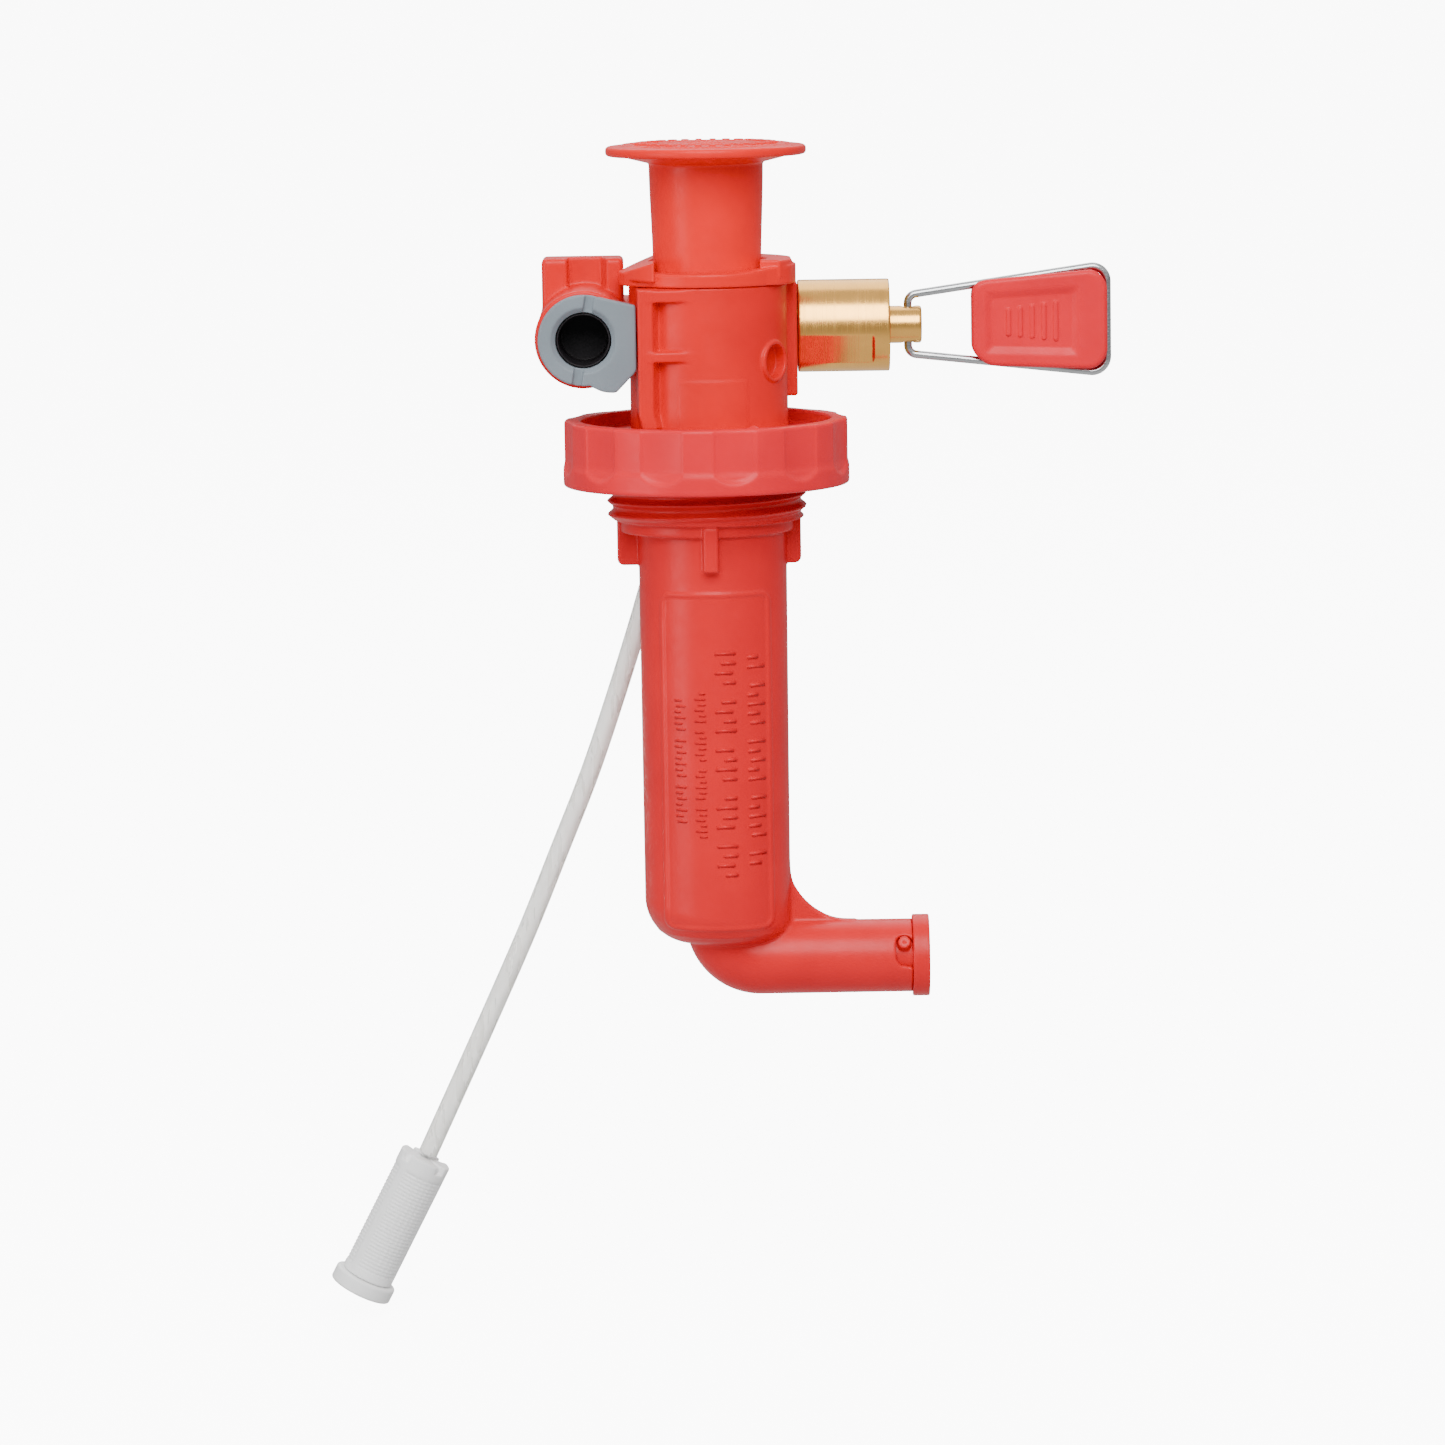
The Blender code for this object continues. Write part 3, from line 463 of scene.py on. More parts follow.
def machined_brass(name, colour):
    """Turned brass, with fine rings round X and a faint lengthwise cast."""
    material, tree, shader = shader_of(name, colour, 0.24, 1.0)
    rings = noise_node(tree, place_node(tree, (9.0, 0.06, 0.06)), 1.0, 4.0)
    cloud = noise_node(tree, place_node(tree), 0.35, 3.0)
    base_colours(tree, shader, cloud, shade(colour, 0.93), shade(colour, 1.05))
    surface(tree, shader, rings, (0.17, 0.31), 0.35, 0.02)
    return material


def drawn_steel(name, colour):
    """Drawn wire, with fine streaks along X."""
    material, tree, shader = shader_of(name, colour, 0.22, 1.0)
    streaks = noise_node(tree, place_node(tree, (0.25, 4.0, 4.0)), 1.0, 4.0)
    base_colours(tree, shader, streaks, shade(colour, 0.88), shade(colour, 1.08))
    surface(tree, shader, streaks, (0.14, 0.32), 0.3, 0.015)
    return material


def black_rubber(name, colour):
    material, tree, shader = shader_of(name, colour, 0.55)
    speckle = noise_node(tree, place_node(tree), 3.0, 4.0)
    base_colours(tree, shader, speckle, shade(colour, 0.7), shade(colour, 1.5))
    surface(tree, shader, speckle, (0.45, 0.65), 0.4, 0.02)
    shader.inputs["Specular IOR Level"].default_value = 0.15
    return material


def clear_tubing(name, colour):
    """Milky translucent tubing."""
    material, tree, shader = shader_of(name, colour, 0.28)
    streaks = noise_node(tree, place_node(tree, (1.0, 1.0, 0.12)), 0.8, 3.0)
    base_colours(tree, shader, streaks, (0.80, 0.79, 0.75), (0.88, 0.875, 0.85))
    surface(tree, shader, streaks, (0.22, 0.36), 0.2, 0.03)
    shader.inputs["Transmission Weight"].default_value = 0.25
    light_under_skin(shader, 0.4, (1.0, 0.95, 0.85), 1.2)
    return material


def white_nylon(name, colour):
    material, tree, shader = shader_of(name, colour, 0.5)
    speckle = noise_node(tree, place_node(tree), 1.6, 4.0)
    base_colours(tree, shader, speckle, (0.93, 0.935, 0.93), (0.97, 0.97, 0.965))
    surface(tree, shader, speckle, (0.42, 0.6), 0.3, 0.02)
    light_under_skin(shader, 0.10, (1.0, 1.0, 0.95), 1.0)
    return material


RED = moulded_plastic("red_moulding", (0.740, 0.005, 0.006), 0.36)
BARREL_RED = moulded_plastic("barrel_red", (0.720, 0.008, 0.014), 0.33)
RING_RED = moulded_plastic("ring_red", (0.790, 0.010, 0.024), 0.36)
KNOB_RED = moulded_plastic("knob_red", (0.860, 0.007, 0.005), 0.36)
GRIP_RED = moulded_plastic("grip_red", (0.790, 0.009, 0.024), 0.40)
GREY = moulded_plastic("grey_plastic", (0.200, 0.235, 0.265), 0.42, glow=0.0)
BRASS = machined_brass("brass", (0.950, 0.500, 0.120))
STEEL = drawn_steel("steel", (0.52, 0.53, 0.54))
RUBBER = black_rubber("black_rubber", (0.014, 0.012, 0.014))
TUBING = clear_tubing("clear_tube", (0.83, 0.82, 0.79))
NYLON = white_nylon("white_plastic", (0.95, 0.955, 0.95))


# ---------------------------------------------------------------- suction line

TUBE_RADIUS = 1.6
TUBE_ROUTE = [                 # from the nipple to the filter
    (-7.5, 9.5, -14.4),
    (-8.8, 9.8, -19.5),
    (-11.3, 10.2, -28.0),
    (-15.2, 10.5, -40.0),
    (-19.6, 10.5, -52.5),
    (-24.7, 10.5, -65.0),
    (-30.1, 10.5, -78.0),
    (-36.2, 10.5, -91.5),
    (-42.0, 10.5, -104.0),
    (-47.2, 10.5, -115.1),
]


def smooth_points(points, parts):
    """Points on a smooth curve through the given points."""
    knots = [Vector(point) for point in points]
    knots = [2 * knots[0] - knots[1]] + knots + [2 * knots[-1] - knots[-2]]
    fine = []
    for before, start, end, after in zip(knots, knots[1:], knots[2:], knots[3:]):
        for index in range(parts):
            t = index / parts
            fine.append(0.5 * (
                2 * start
                + (end - before) * t
                + (2 * before - 5 * start + 4 * end - after) * t * t
                + (3 * start - before - 3 * end + after) * t * t * t
            ))
    fine.append(knots[-2])
    return fine


WIRE_ROUNDNESS = 6             # the bevel's resolution


def wire_object(name, points, radius):
    """A round wire along points in millimetres, as a curve of one open spline."""
    curve = bpy.data.curves.new(name, "CURVE")
    curve.dimensions = "3D"
    curve.bevel_depth = radius * MM
    curve.bevel_resolution = WIRE_ROUNDNESS
    curve.use_fill_caps = True
    spline = curve.splines.new("POLY")
    spline.points.add(len(points) - 1)
    for point, place in zip(spline.points, points):
        point.co = (*(Vector(place) * MM), 1.0)
    spline.use_smooth = True
    return add_object(name, curve)


def make_tube(filter_pieces):
    points = smooth_points(TUBE_ROUTE, 6)
    tube = wire_object("suction_hose", points, TUBE_RADIUS)
    dress(tube, "pump_body", TUBING, "clear_tube", "suction_tube")


FILTER_TOP = (-47.33, 10.5, -115.38)
FILTER_TILT = math.radians(27.3)
FILTER_RADIUS = 4.3
MESH_PITCH = 0.62              # between the fine lines round the sleeve
MESH_COLUMNS = 28
FILTER_CELL = 0.2
FILTER_ROOM = 1.0              # how far the looks may pass the CAD filter's box


def along_filter(x, y, z):
    """Distance to the filter's axis, height along it and angle round it."""
    dx = x - FILTER_TOP[0]
    dy = y - FILTER_TOP[1]
    dz = z - FILTER_TOP[2]
    across = dx * math.cos(FILTER_TILT) - dz * math.sin(FILTER_TILT)
    height = dx * math.sin(FILTER_TILT) + dz * math.cos(FILTER_TILT)
    return from_axis(across, dy), height, np.arctan2(dy, across)


def filter_field(x, y, z):
    """Ribbed sleeve with fine mesh lines, on a hollow core."""
    radial, height, angle = along_filter(x, y, z)
    fine = 0.07 * np.cos(2 * math.pi * height / MESH_PITCH)
    fine = fine + 0.03 * np.cos(MESH_COLUMNS * angle)
    zone = smooth_step(height, -21.6, -20.9) * (1 - smooth_step(height, -3.4, -2.7))
    ribs = smooth_step(np.cos(3 * angle + 0.6), 0.80, 0.93)
    radius = FILTER_RADIUS + fine * zone * (1 - ribs) - 0.16 * zone * (1 - ribs)
    body = drum(radial, height, radius, -22.5, -0.4, 0.3)
    notch = np.abs(np.cos(2 * angle)) - 0.38
    body = without(body, rounded(notch * 3.0, -1.7 - height, 0.2), 0.3)
    core = drum(radial, height, 3.3, -22.5, -0.7, 0.3)
    body = union(body, core, 0.3)
    body = without(body, drum(radial, height, 2.1, -30.0, -3.0, 0.2), 0.2)
    return without(body, radial - 0.8, 0.2)


def filter_cap_field(x, y, z):
    """End cap with a dished face and a plug inside the sleeve."""
    radial, height, _ = along_filter(x, y, z)
    flange = drum(radial, height, 5.2, -25.1, -22.6, 0.35)
    plug = drum(radial, height, 1.9, -23.0, -20.4, 0.3)
    dish = drum(radial, height, 3.6, -27.0, -24.5, 0.3)
    return without(union(flange, plug), dish)


def filter_piece(name, field, node):
    low, high = node_box(node)
    low = [value - FILTER_ROOM for value in low]
    high = [value + FILTER_ROOM for value in high]
    return moulding(name, field, low, high, FILTER_CELL, "pump_body", NYLON, "white_plastic", node)


def make_filter():
    return [
        filter_piece("filter_sleeve", filter_field, "suction_filter"),
        filter_piece("filter_end", filter_cap_field, "filter_cap"),
    ]


# ---------------------------------------------------------------- barrel

BARREL_FOOT = -78.1
BORE_FLOOR = -70.8
SHELL_RADIUS = 11.8
SHELL_DRAFT = 0.0025           # the shell widens this much per mm upwards
SHELL_SHIFT = 0.2              # the shell sits this far to the right of the bore
COLLAR_TOP = 3.7
ELBOW_RADIUS = 5.9
ELBOW_BEND = 6.1
CAP_FLANGE = 31.9              # where the elbow ends and the check valve cap's flange starts
NUB_X = 30.5
NUB_ANGLE = math.radians(30.0)    # above the front
NIPPLE_BOSS = 3.0
THREAD_CORE = 15.0
THREAD_PITCH = 2.1
THREAD_DEPTH = 0.9
THREAD_LEAD = 0.02             # turns between +X and the ridge's crest, at height 0


def shell_radius(z):
    return SHELL_RADIUS + SHELL_DRAFT * (z + 12.0)


def thread_height(z, angle):
    """Ridge of the right-hand thread, fading out at both ends."""
    phase = (z / THREAD_PITCH - angle / (2 * math.pi) - THREAD_LEAD + 0.5) % 1.0
    ridge = 1 - np.abs(phase - 0.5) / 0.38
    along = z - THREAD_PITCH * angle / (2 * math.pi)
    fade = smooth_step(along, -10.6, -9.9) * (1 - smooth_step(z, -2.9, -1.9))
    return THREAD_DEPTH * clamp(ridge * 1.1) * fade


def elbow_distance(x, y, z):
    """Distance to the centreline of the elbow: down, round the bend and out along +X."""
    centre_x = PUMP_X + 0.9 + ELBOW_BEND
    centre_z = CHECK_Z + ELBOW_BEND
    dx = x - centre_x
    dz = z - centre_z
    round_bend = from_axis(from_axis(dx, dz) - ELBOW_BEND, y - CHECK_Y)
    level = from_axis(z - CHECK_Z, y - CHECK_Y)
    upright = from_axis(dx + ELBOW_BEND, y - CHECK_Y)
    turning = (dx < 0) & (dz < 0)
    return np.where(turning, round_bend, np.where(dx >= 0, level, upright))


def barrel_field(x, y, z):
    """Barrel with its raised frame, collar with thread, and elbow."""
    px, py, rho = about_pump(x, y)
    turn = from_axis(x, y)
    shell = from_axis(px - SHELL_SHIFT, py)
    front = smooth_step(-py, 0.5, 2.5)
    radius = shell_radius(z)
    frame_line = np.abs(panel(px - 0.45, z + 48.05, 8.45, 26.75, 1.5)) - 0.18
    radius = radius + 0.20 * front * (1 - smooth_step(frame_line, 0.0, 0.30))
    foot_line = np.abs(z - BARREL_FOOT - 1.8) - 0.12
    radius = radius + 0.10 * front * (1 - smooth_step(foot_line, 0.0, 0.28))
    foot_edge = clamp(5.2 - 1.7 * px / 11.6, 3.0, 7.0)
    body = rounded(shell - radius, slab(z, BARREL_FOOT, -6.0), foot_edge)
    angle = np.arctan2(y, x)
    collar = drum(turn, z, THREAD_CORE + thread_height(z, angle), -10.3, 1.2, 0.25)
    body = union(body, collar * 0.85, 0.25)
    body = union(body, drum(turn, z, 13.9, -12.2, -9.0, 0.3), 0.25)
    body = union(body, drum(turn, z, 12.3, 0.0, COLLAR_TOP, 0.2), 0.2)
    boss = from_axis(x - NIPPLE_X, y - NIPPLE_Y)
    body = union(body, drum(boss, z, NIPPLE_BOSS, 0.0, COLLAR_TOP, 0.2), 0.2)
    body = union(body, locating_fins(x, y, z), 0.35)
    flat_end = x - (CAP_FLANGE - 0.06)
    centreline = elbow_distance(x, y, z)
    tube_radius = ELBOW_RADIUS - 0.03 * smooth_step(x, 12.0, 30.0)
    elbow = rounded(centreline - tube_radius, np.maximum(flat_end, z + 70.0), 0.10)
    body = union(body, elbow, 0.8)
    body = union(body, elbow_rib(x, y, z), 0.7)
    body = without(body, drum(rho, z, BORE_RADIUS, BORE_FLOOR, 12.0, 0.8), 0.3)
    chamber = from_axis(z - CHECK_Z, y - CHECK_Y)
    body = without(body, drum(chamber, x, 4.9, 13.6, 40.0, 0.3), 0.25)
    body = without(body, rounded(centreline - 2.0, x - 15.0, 0.2), 0.3)
    body = without(body, boss - 1.2, 0.2)
    return without(body, bayonet_slot(x, y, z), 0.2)


def locating_fins(x, y, z):
    """Four thin fins under the collar."""
    across = rounded(np.abs(y) - 1.17, panel(x - 0.25, z + 13.6, 14.65, 4.05, 1.1), 0.2)
    front = brick(x, y, z, (-0.65, -14.65, -17.6), (1.7, 0.0, -10.5), 0.25)
    back = brick(x, y, z, (-0.65, 0.0, -17.6), (1.7, 13.0, -10.5), 0.25)
    return np.minimum(across, np.minimum(front, back))


def elbow_rib(x, y, z):
    """Thin rib between barrel and elbow, with a hollow edge."""
    end = 22.6
    hollow = 10.6 - from_axis(x - end, z + 64.9)
    area = np.maximum(np.maximum(hollow, 8.0 - x), np.maximum(x - end, -79.0 - z))
    area = np.maximum(area, z + 66.0)
    return rounded(area, np.abs(y - CHECK_Y) - 0.9, 0.25)


def bayonet_slot(x, y, z):
    """The locking slot: a round seat for the nub, and a slanted way in from the tube's end."""
    above = np.arctan2(z - CHECK_Z, -(y - CHECK_Y))
    along = above * ELBOW_RADIUS - NUB_ANGLE * ELBOW_RADIUS
    out = x - NUB_X
    seat = from_axis(out, along) - 1.35
    way = convex(out, along, [(-1.4, 0.0), (-1.35, -2.9), (-0.6, -3.9), (1.3, -4.3), (3.0, -4.3),
                              (3.0, -1.0), (1.0, 0.6)], 0.2)
    radial = from_axis(z - CHECK_Z, y - CHECK_Y)
    behind = np.where(y < CHECK_Y, 0.0, 5.0)
    return rounded(np.minimum(seat, way) + behind, slab(radial, 4.6, 8.0), 0.05)


MARK_HEIGHT = 0.17
MARK_SPACING = 0.44            # from bar to bar, as a share of the column's width
MARK_THICKNESS = 0.44          # of the spacing
MARK_EDGE = 0.16
MARK_LENGTHS = (1.0, 0.62, 0.86, 0.7)    # as shares of the column's width
MARK_COLUMNS = (               # place across, top, run down and width of each column
    (1.7, -29.8, 37.2, 3.5),
    (7.0, -30.6, 35.0, 3.4),
    (-2.4, -35.6, 25.8, 2.0),
    (-5.8, -37.6, 21.5, 2.1),
)


def make_marks():
    """Plain raised bars in four columns, where the moulding carries its text."""
    shape = bmesh.new()
    for column, (across, top, run, width) in enumerate(MARK_COLUMNS):
        pitch = MARK_SPACING * width
        for index in range(int(run / pitch)):
            gap_here = (index + 2 * column) % (5 + column) == 4
            if gap_here:
                continue
            share = MARK_LENGTHS[(index * 3 + column) % len(MARK_LENGTHS)]
            side = 0.5 * (1 - share) * (1 if index % 2 else -1)
            size = (width * share, 1.0, pitch * MARK_THICKNESS)
            place = (across + side * width, 0.0, top - (index + 0.5) * pitch)
            cube = bmesh.ops.create_cube(shape, size=1.0)["verts"]
            bmesh.ops.scale(shape, vec=size, verts=cube)
            bmesh.ops.translate(shape, vec=place, verts=cube)
    bmesh.ops.bevel(shape, geom=shape.edges[:], offset=MARK_EDGE, segments=2, affect="EDGES")
    for vertex in shape.verts:
        angle = vertex.co.x / SHELL_RADIUS
        radius = shell_radius(vertex.co.z) + MARK_HEIGHT * 2 * vertex.co.y
        vertex.co.x = PUMP_X + SHELL_SHIFT + radius * math.sin(angle)
        vertex.co.y = PUMP_Y - radius * math.cos(angle)
    bmesh.ops.scale(shape, vec=(MM, MM, MM), verts=shape.verts[:])
    bmesh.ops.recalc_face_normals(shape, faces=shape.faces[:])
    mesh = bpy.data.meshes.new("barrel_marks")
    shape.to_mesh(mesh)
    shape.free()
    mesh.shade_smooth()
    dress(add_object("barrel_marks", mesh), "pump_body", BARREL_RED, "red_moulding")


def make_barrel():
    low = [*BARREL_LOW[:2], min(BARREL_LOW[2], CHECK_Z - (ELBOW_RADIUS + 0.3))]
    moulding("barrel_moulding", barrel_field, low, BARREL_HIGH, 0.30, "pump_body", BARREL_RED,
             "red_moulding", "pump_barrel")


# ---------------------------------------------------------------- grip ring

FLUTE_PITCH = 30.0             # degrees
FLUTE_HALF = 8.6               # degrees
FLUTE_TURN = 3.2               # degrees
FLUTE_DEPTH = 0.45
RING_FOOT = -4.8
RING_ROOM = 0.4                # how far the looks may pass the CAD ring's box


def ring_field(x, y, z):
    """Fluted ring, hollow above and below its web, with a small nub inside its rim."""
    turn = from_axis(x, y)
    angle = np.degrees(np.arctan2(x, -y)) + FLUTE_TURN
    off_flute = (angle % FLUTE_PITCH) - FLUTE_PITCH / 2
    share = np.abs(off_flute / FLUTE_HALF)
    scoop = FLUTE_DEPTH * clamp(1 - share ** 2) + 0.12 * (1 - smooth_step(share, 0.94, 1.03))
    foot = RING_FOOT + 1.9 + 1.1 * clamp(share) ** 2
    cut = scoop * smooth_step(z, foot - 0.35, foot + 0.75)
    waist = 0.24 * smooth_step(z, RING_FOOT + 2.7, RING_FOOT + 4.0)
    lip = RING_HIGH[0] + 0.15 - waist - cut
    ring = drum(turn, z, lip, RING_FOOT, RING_HIGH[2], 0.45)
    ring = without(ring, drum(turn, z, 19.9, 3.3, 12.0, 0.35), 0.3)
    ring = without(ring, drum(turn, z, 21.2, -12.0, 1.5, 0.35), 0.3)
    ring = without(ring, turn - 12.6, 0.2)
    boss = from_axis(x - NIPPLE_X, y - NIPPLE_Y)
    ring = without(ring, boss - (NIPPLE_BOSS + 0.3), 0.2)
    nub = np.sqrt((x - 7.5) ** 2 + (y + 19.3) ** 2 + (z - 5.0) ** 2) - 1.0
    return union(ring, nub, 0.3)


def make_ring():
    low = [RING_LOW[0] - RING_ROOM, RING_LOW[1] - RING_ROOM, RING_FOOT]
    high = [RING_HIGH[0] + RING_ROOM, RING_HIGH[1] + RING_ROOM, RING_HIGH[2]]
    moulding("ring_moulding", ring_field, low, high, 0.28, "pump_body", RING_RED, "ring_red",
             "grip_ring")


# ---------------------------------------------------------------- head

HEAD_FOOT = 4.0
HEAD_TOP = 27.05
GROOVE_RADIUS = 10.9           # of the groove and keyways for the bushing's bayonet
GUSSETS = ((24.9, 26.8), (15.5, 17.1))    # low and high edge of each
RECESS_Z = 15.1
RECESS_TURN = math.radians(56.0)    # from the front towards the right


def head_field(x, y, z):
    """Head with valve block, port barrel, catch lug, front fin and bayonet groove."""
    px, py, rho = about_pump(x, y)
    azimuth = np.degrees(np.arctan2(px, -py))
    ledge = 0.10 * (1 - smooth_step(z, 12.3, 12.7))
    ledge = ledge * (1 - smooth_step(np.abs(azimuth - 3.0), 24.0, 28.0))
    head = drum(rho, z, HEAD_RADIUS + ledge, HEAD_FOOT, HEAD_TOP, 0.10)
    head = union(head, brick(x, y, z, (-1.0, 1.0, 8.8), (14.75, 20.6, 27.0), 0.5), 0.5)
    gallery = from_axis(y - VALVE_Y, z - VALVE_Z)
    head = union(head, drum(gallery, x, 5.4, PORT_X, 2.0, 0.3), 0.6)
    port = from_axis(x - PORT_X, z - PORT_Z)
    head = union(head, drum(port, -y, 7.7, -20.0, 9.3, 0.4), 0.7)
    lug = brick(x, y, z, (-25.75, 3.0, 20.0), (-12.8, 11.0, 31.0), 0.8)
    plan = convex(x, y, [(-21.8, 0.0), (-14.6, 0.0), (-16.3, 6.2), (-21.6, 6.2)], 0.3)
    recess = rounded(plan, 24.0 - z, 0.3)
    head = union(head, without(lug, recess, 0.3), 0.5)
    spread = 0.5 * (1 - smooth_step(z, 5.0, 7.5))
    plan = convex(x - spread, y, [(-10.4, -13.1), (-8.1, -13.1), (-6.7, -9.6), (-6.7, -4.0),
                                  (-10.9, -4.0)], 0.2)
    head = union(head, rounded(plan, slab(z, 5.0, HEAD_TOP - 0.1), 0.2), 0.3)
    for low, high in GUSSETS:
        head = union(head, brick(x, y, z, (-9.0, -13.15, low), (-1.4, -8.0, high), 0.2), 0.3)
    boss = from_axis(x - NIPPLE_X, y - NIPPLE_Y)
    head = union(head, drum(boss, z, NIPPLE_BOSS, HEAD_FOOT, VALVE_Z, 0.3), 0.4)
    head = side_recess(head, px, py, z)
    head = without(head, drum(rho, z, BORE_RADIUS, 0.0, 40.0, 0.2), 0.25)
    head = without(head, drum(rho, z, GROOVE_RADIUS, 23.3, 25.3, 0.15), 0.15)
    polar = np.degrees(np.arctan2(py, px))
    keyway = np.abs((polar - 45.0 + 90.0) % 180.0 - 90.0) - 15.0
    keyway = rounded(keyway * MM_PER_DEGREE, rho - GROOVE_RADIUS, 0.15)
    head = without(head, np.maximum(keyway, 24.8 - z), 0.15)
    head = without(head, drum(port, -y, 5.6, -4.0, 20.0, 0.3), 0.3)
    return without(head, drum(gallery, x, 5.5, 7.0, 30.0, 0.2), 0.25)


def side_recess(head, px, py, z):
    """Blind round recess with a raised rim, at the right of the front."""
    out = px * math.sin(RECESS_TURN) - py * math.cos(RECESS_TURN)
    across = px * math.cos(RECESS_TURN) + py * math.sin(RECESS_TURN)
    ring = from_axis(across, z - RECESS_Z)
    head = union(head, drum(ring, out, 3.3, 9.8, 12.85, 0.25), 0.25)
    return without(head, drum(ring, out, 2.65, 11.0, 18.0, 0.25), 0.2)


def make_head():
    moulding("head_moulding", head_field, HEAD_LOW, HEAD_HIGH, 0.27, "pump_body", RED,
             "red_moulding", "pump_head")


# ---------------------------------------------------------------- plunger and bushing

RIM_RADIUS = 12.8
RIM_REACH = 1.2                # how much further the rim goes at both sides
RIM_TOP = 29.2
WING_TOP = 31.0
WING_INSIDE = 9.3
BUSHING_ROOM_TOP = 31.3
KNOB_RADIUS = 15.86
KNOB_FACE = 48.85
KNOB_EDGE = 1.55               # thickness at the rim
KNOB_DOTS = 30
KNOB_RINGS = ((13.1, 0.22), (7.3, 0.22), (3.2, 0.45))    # radius and half width of each
STUB_RADIUS = 8.55
STUB_FLARE = 0.50


def bushing_field(x, y, z):
    """Bushing with a rim that rises to the right, two finger wings and two bayonet lugs."""
    px, py, rho = about_pump(x, y)
    polar = np.degrees(np.arctan2(py, px))
    sideways = smooth_step(np.abs(np.cos(np.radians(polar))), 0.70, 0.95)
    top = RIM_TOP + 0.9 * smooth_step(px, 3.0, 13.5)
    body = rounded(rho - RIM_RADIUS - RIM_REACH * sideways,
                   np.maximum(z - top, 27.12 - z), 0.16)
    body = union(body, drum(rho, z, BORE_RADIUS - 0.3, 22.3, 28.0, 0.3), 0.25)
    lug = np.abs((polar + 90.0) % 180.0 - 90.0) - 12.0
    lug = rounded(np.maximum(lug * MM_PER_DEGREE, rho - 10.6), slab(z, 23.6, 25.0), 0.15)
    body = union(body, lug, 0.2)
    right = rounded(np.maximum(rho - 13.7, WING_INSIDE - rho),
                    np.maximum(z - WING_TOP, 28.0 - z), 0.4)
    right = np.maximum(np.maximum(right, 8.3 - px), z - WING_TOP - 1.9 * (13.1 - px))
    body = union(body, np.maximum(right, -7.5 - py), 0.2)
    slope = (z - WING_TOP - 0.36 * (px + 8.6)) * 0.94
    left = rounded(np.maximum(rho - 13.9, WING_INSIDE - rho), np.maximum(slope, 28.0 - z), 0.2)
    body = union(body, np.maximum(left, px + 8.3), 0.2)
    body = without(body, drum(rho, z, 8.9, 27.8, 40.0, 0.2), 0.3)
    return without(body, rho - 6.3, 0.3)


def make_bushing():
    high = [*BUSHING_HIGH[:2], BUSHING_ROOM_TOP]
    moulding("bushing_moulding", bushing_field, BUSHING_LOW, high, 0.25, "bushing", KNOB_RED,
             "red_moulding", "plunger_bushing")


def knob_field(x, y, z):
    """Round knob on its stub, with a ring of raised dots and three raised rings."""
    px, py, rho = about_pump(x, y)
    dome = 0.40 * clamp(1 - (rho / 15.0) ** 2)
    top = KNOB_FACE + dome
    disc = rounded(rho - KNOB_RADIUS, np.maximum(z - top, KNOB_FACE - KNOB_EDGE - z), 0.6)
    cone = turned_profile(rho, z, [(-1.0, 48.4), (15.0, 48.4), (15.0, 47.6), (9.0, 46.1),
                                   (-1.0, 46.1)])
    body = union(disc, cone, 0.3)
    radius = STUB_RADIUS + STUB_FLARE * smooth_step(z, 28.0, 47.0)
    body = union(body, drum(rho, z, radius, 28.1, 47.5, 0.3), 0.35)
    turn = np.arctan2(py, px)
    dots = 0.25 - np.cos(KNOB_DOTS * turn)
    band = np.maximum(np.abs(rho - 10.4) - 1.0, dots * 0.9)
    body = union(body, rounded(band, slab(z, top - 0.6, top + 0.38), 0.12), 0.15)
    for place, half in KNOB_RINGS:
        ring = np.abs(rho - place) - half
        body = union(body, rounded(ring, slab(z, top - 0.6, top + 0.22), 0.1), 0.15)
    return body


def make_knob():
    high = [*KNOB_HIGH[:2], KNOB_HIGH[2] + 0.5]
    moulding("knob_moulding", knob_field, KNOB_LOW, high, 0.25, "plunger", KNOB_RED, "knob_red",
             "plunger_knob")


SHAFT_REACH = 5.85             # from the axis to the edge of a blade
SHAFT_HALF = 1.3               # half a blade's thickness
SHAFT_FOOT = -61.0
SHAFT_TOP = 27.8


def shaft_field(x, y, z):
    """Cross-shaped shaft with a disc and a stud for the cup at its foot."""
    px, py, rho = about_pump(x, y)
    first = brick(px, py, z, (-SHAFT_REACH, -SHAFT_HALF, SHAFT_FOOT),
                  (SHAFT_REACH, SHAFT_HALF, SHAFT_TOP), 0.3)
    second = brick(px, py, z, (-SHAFT_HALF, -SHAFT_REACH, SHAFT_FOOT),
                   (SHAFT_HALF, SHAFT_REACH, SHAFT_TOP), 0.3)
    shaft = union(first, second, 1.2)
    shaft = union(shaft, drum(rho, z, 8.6, -61.5, -60.0, 0.3), 0.6)
    return union(shaft, drum(rho, z, 2.6, -66.6, -60.0, 0.3), 0.3)


def make_shaft():
    moulding("shaft_moulding", shaft_field, SHAFT_LOW, SHAFT_HIGH, 0.36, "plunger", RED,
             "red_moulding", "plunger_shaft")


# ---------------------------------------------------------------- control valve

NUT_RADIUS = 7.42
NUT_FLAT = 6.95                # from the axis to a spanner flat
NUT_FLAT_TURNS = (math.radians(-29.0), math.radians(151.0))
STEM_RADIUS = 3.0
WIRE_RADIUS = 0.65


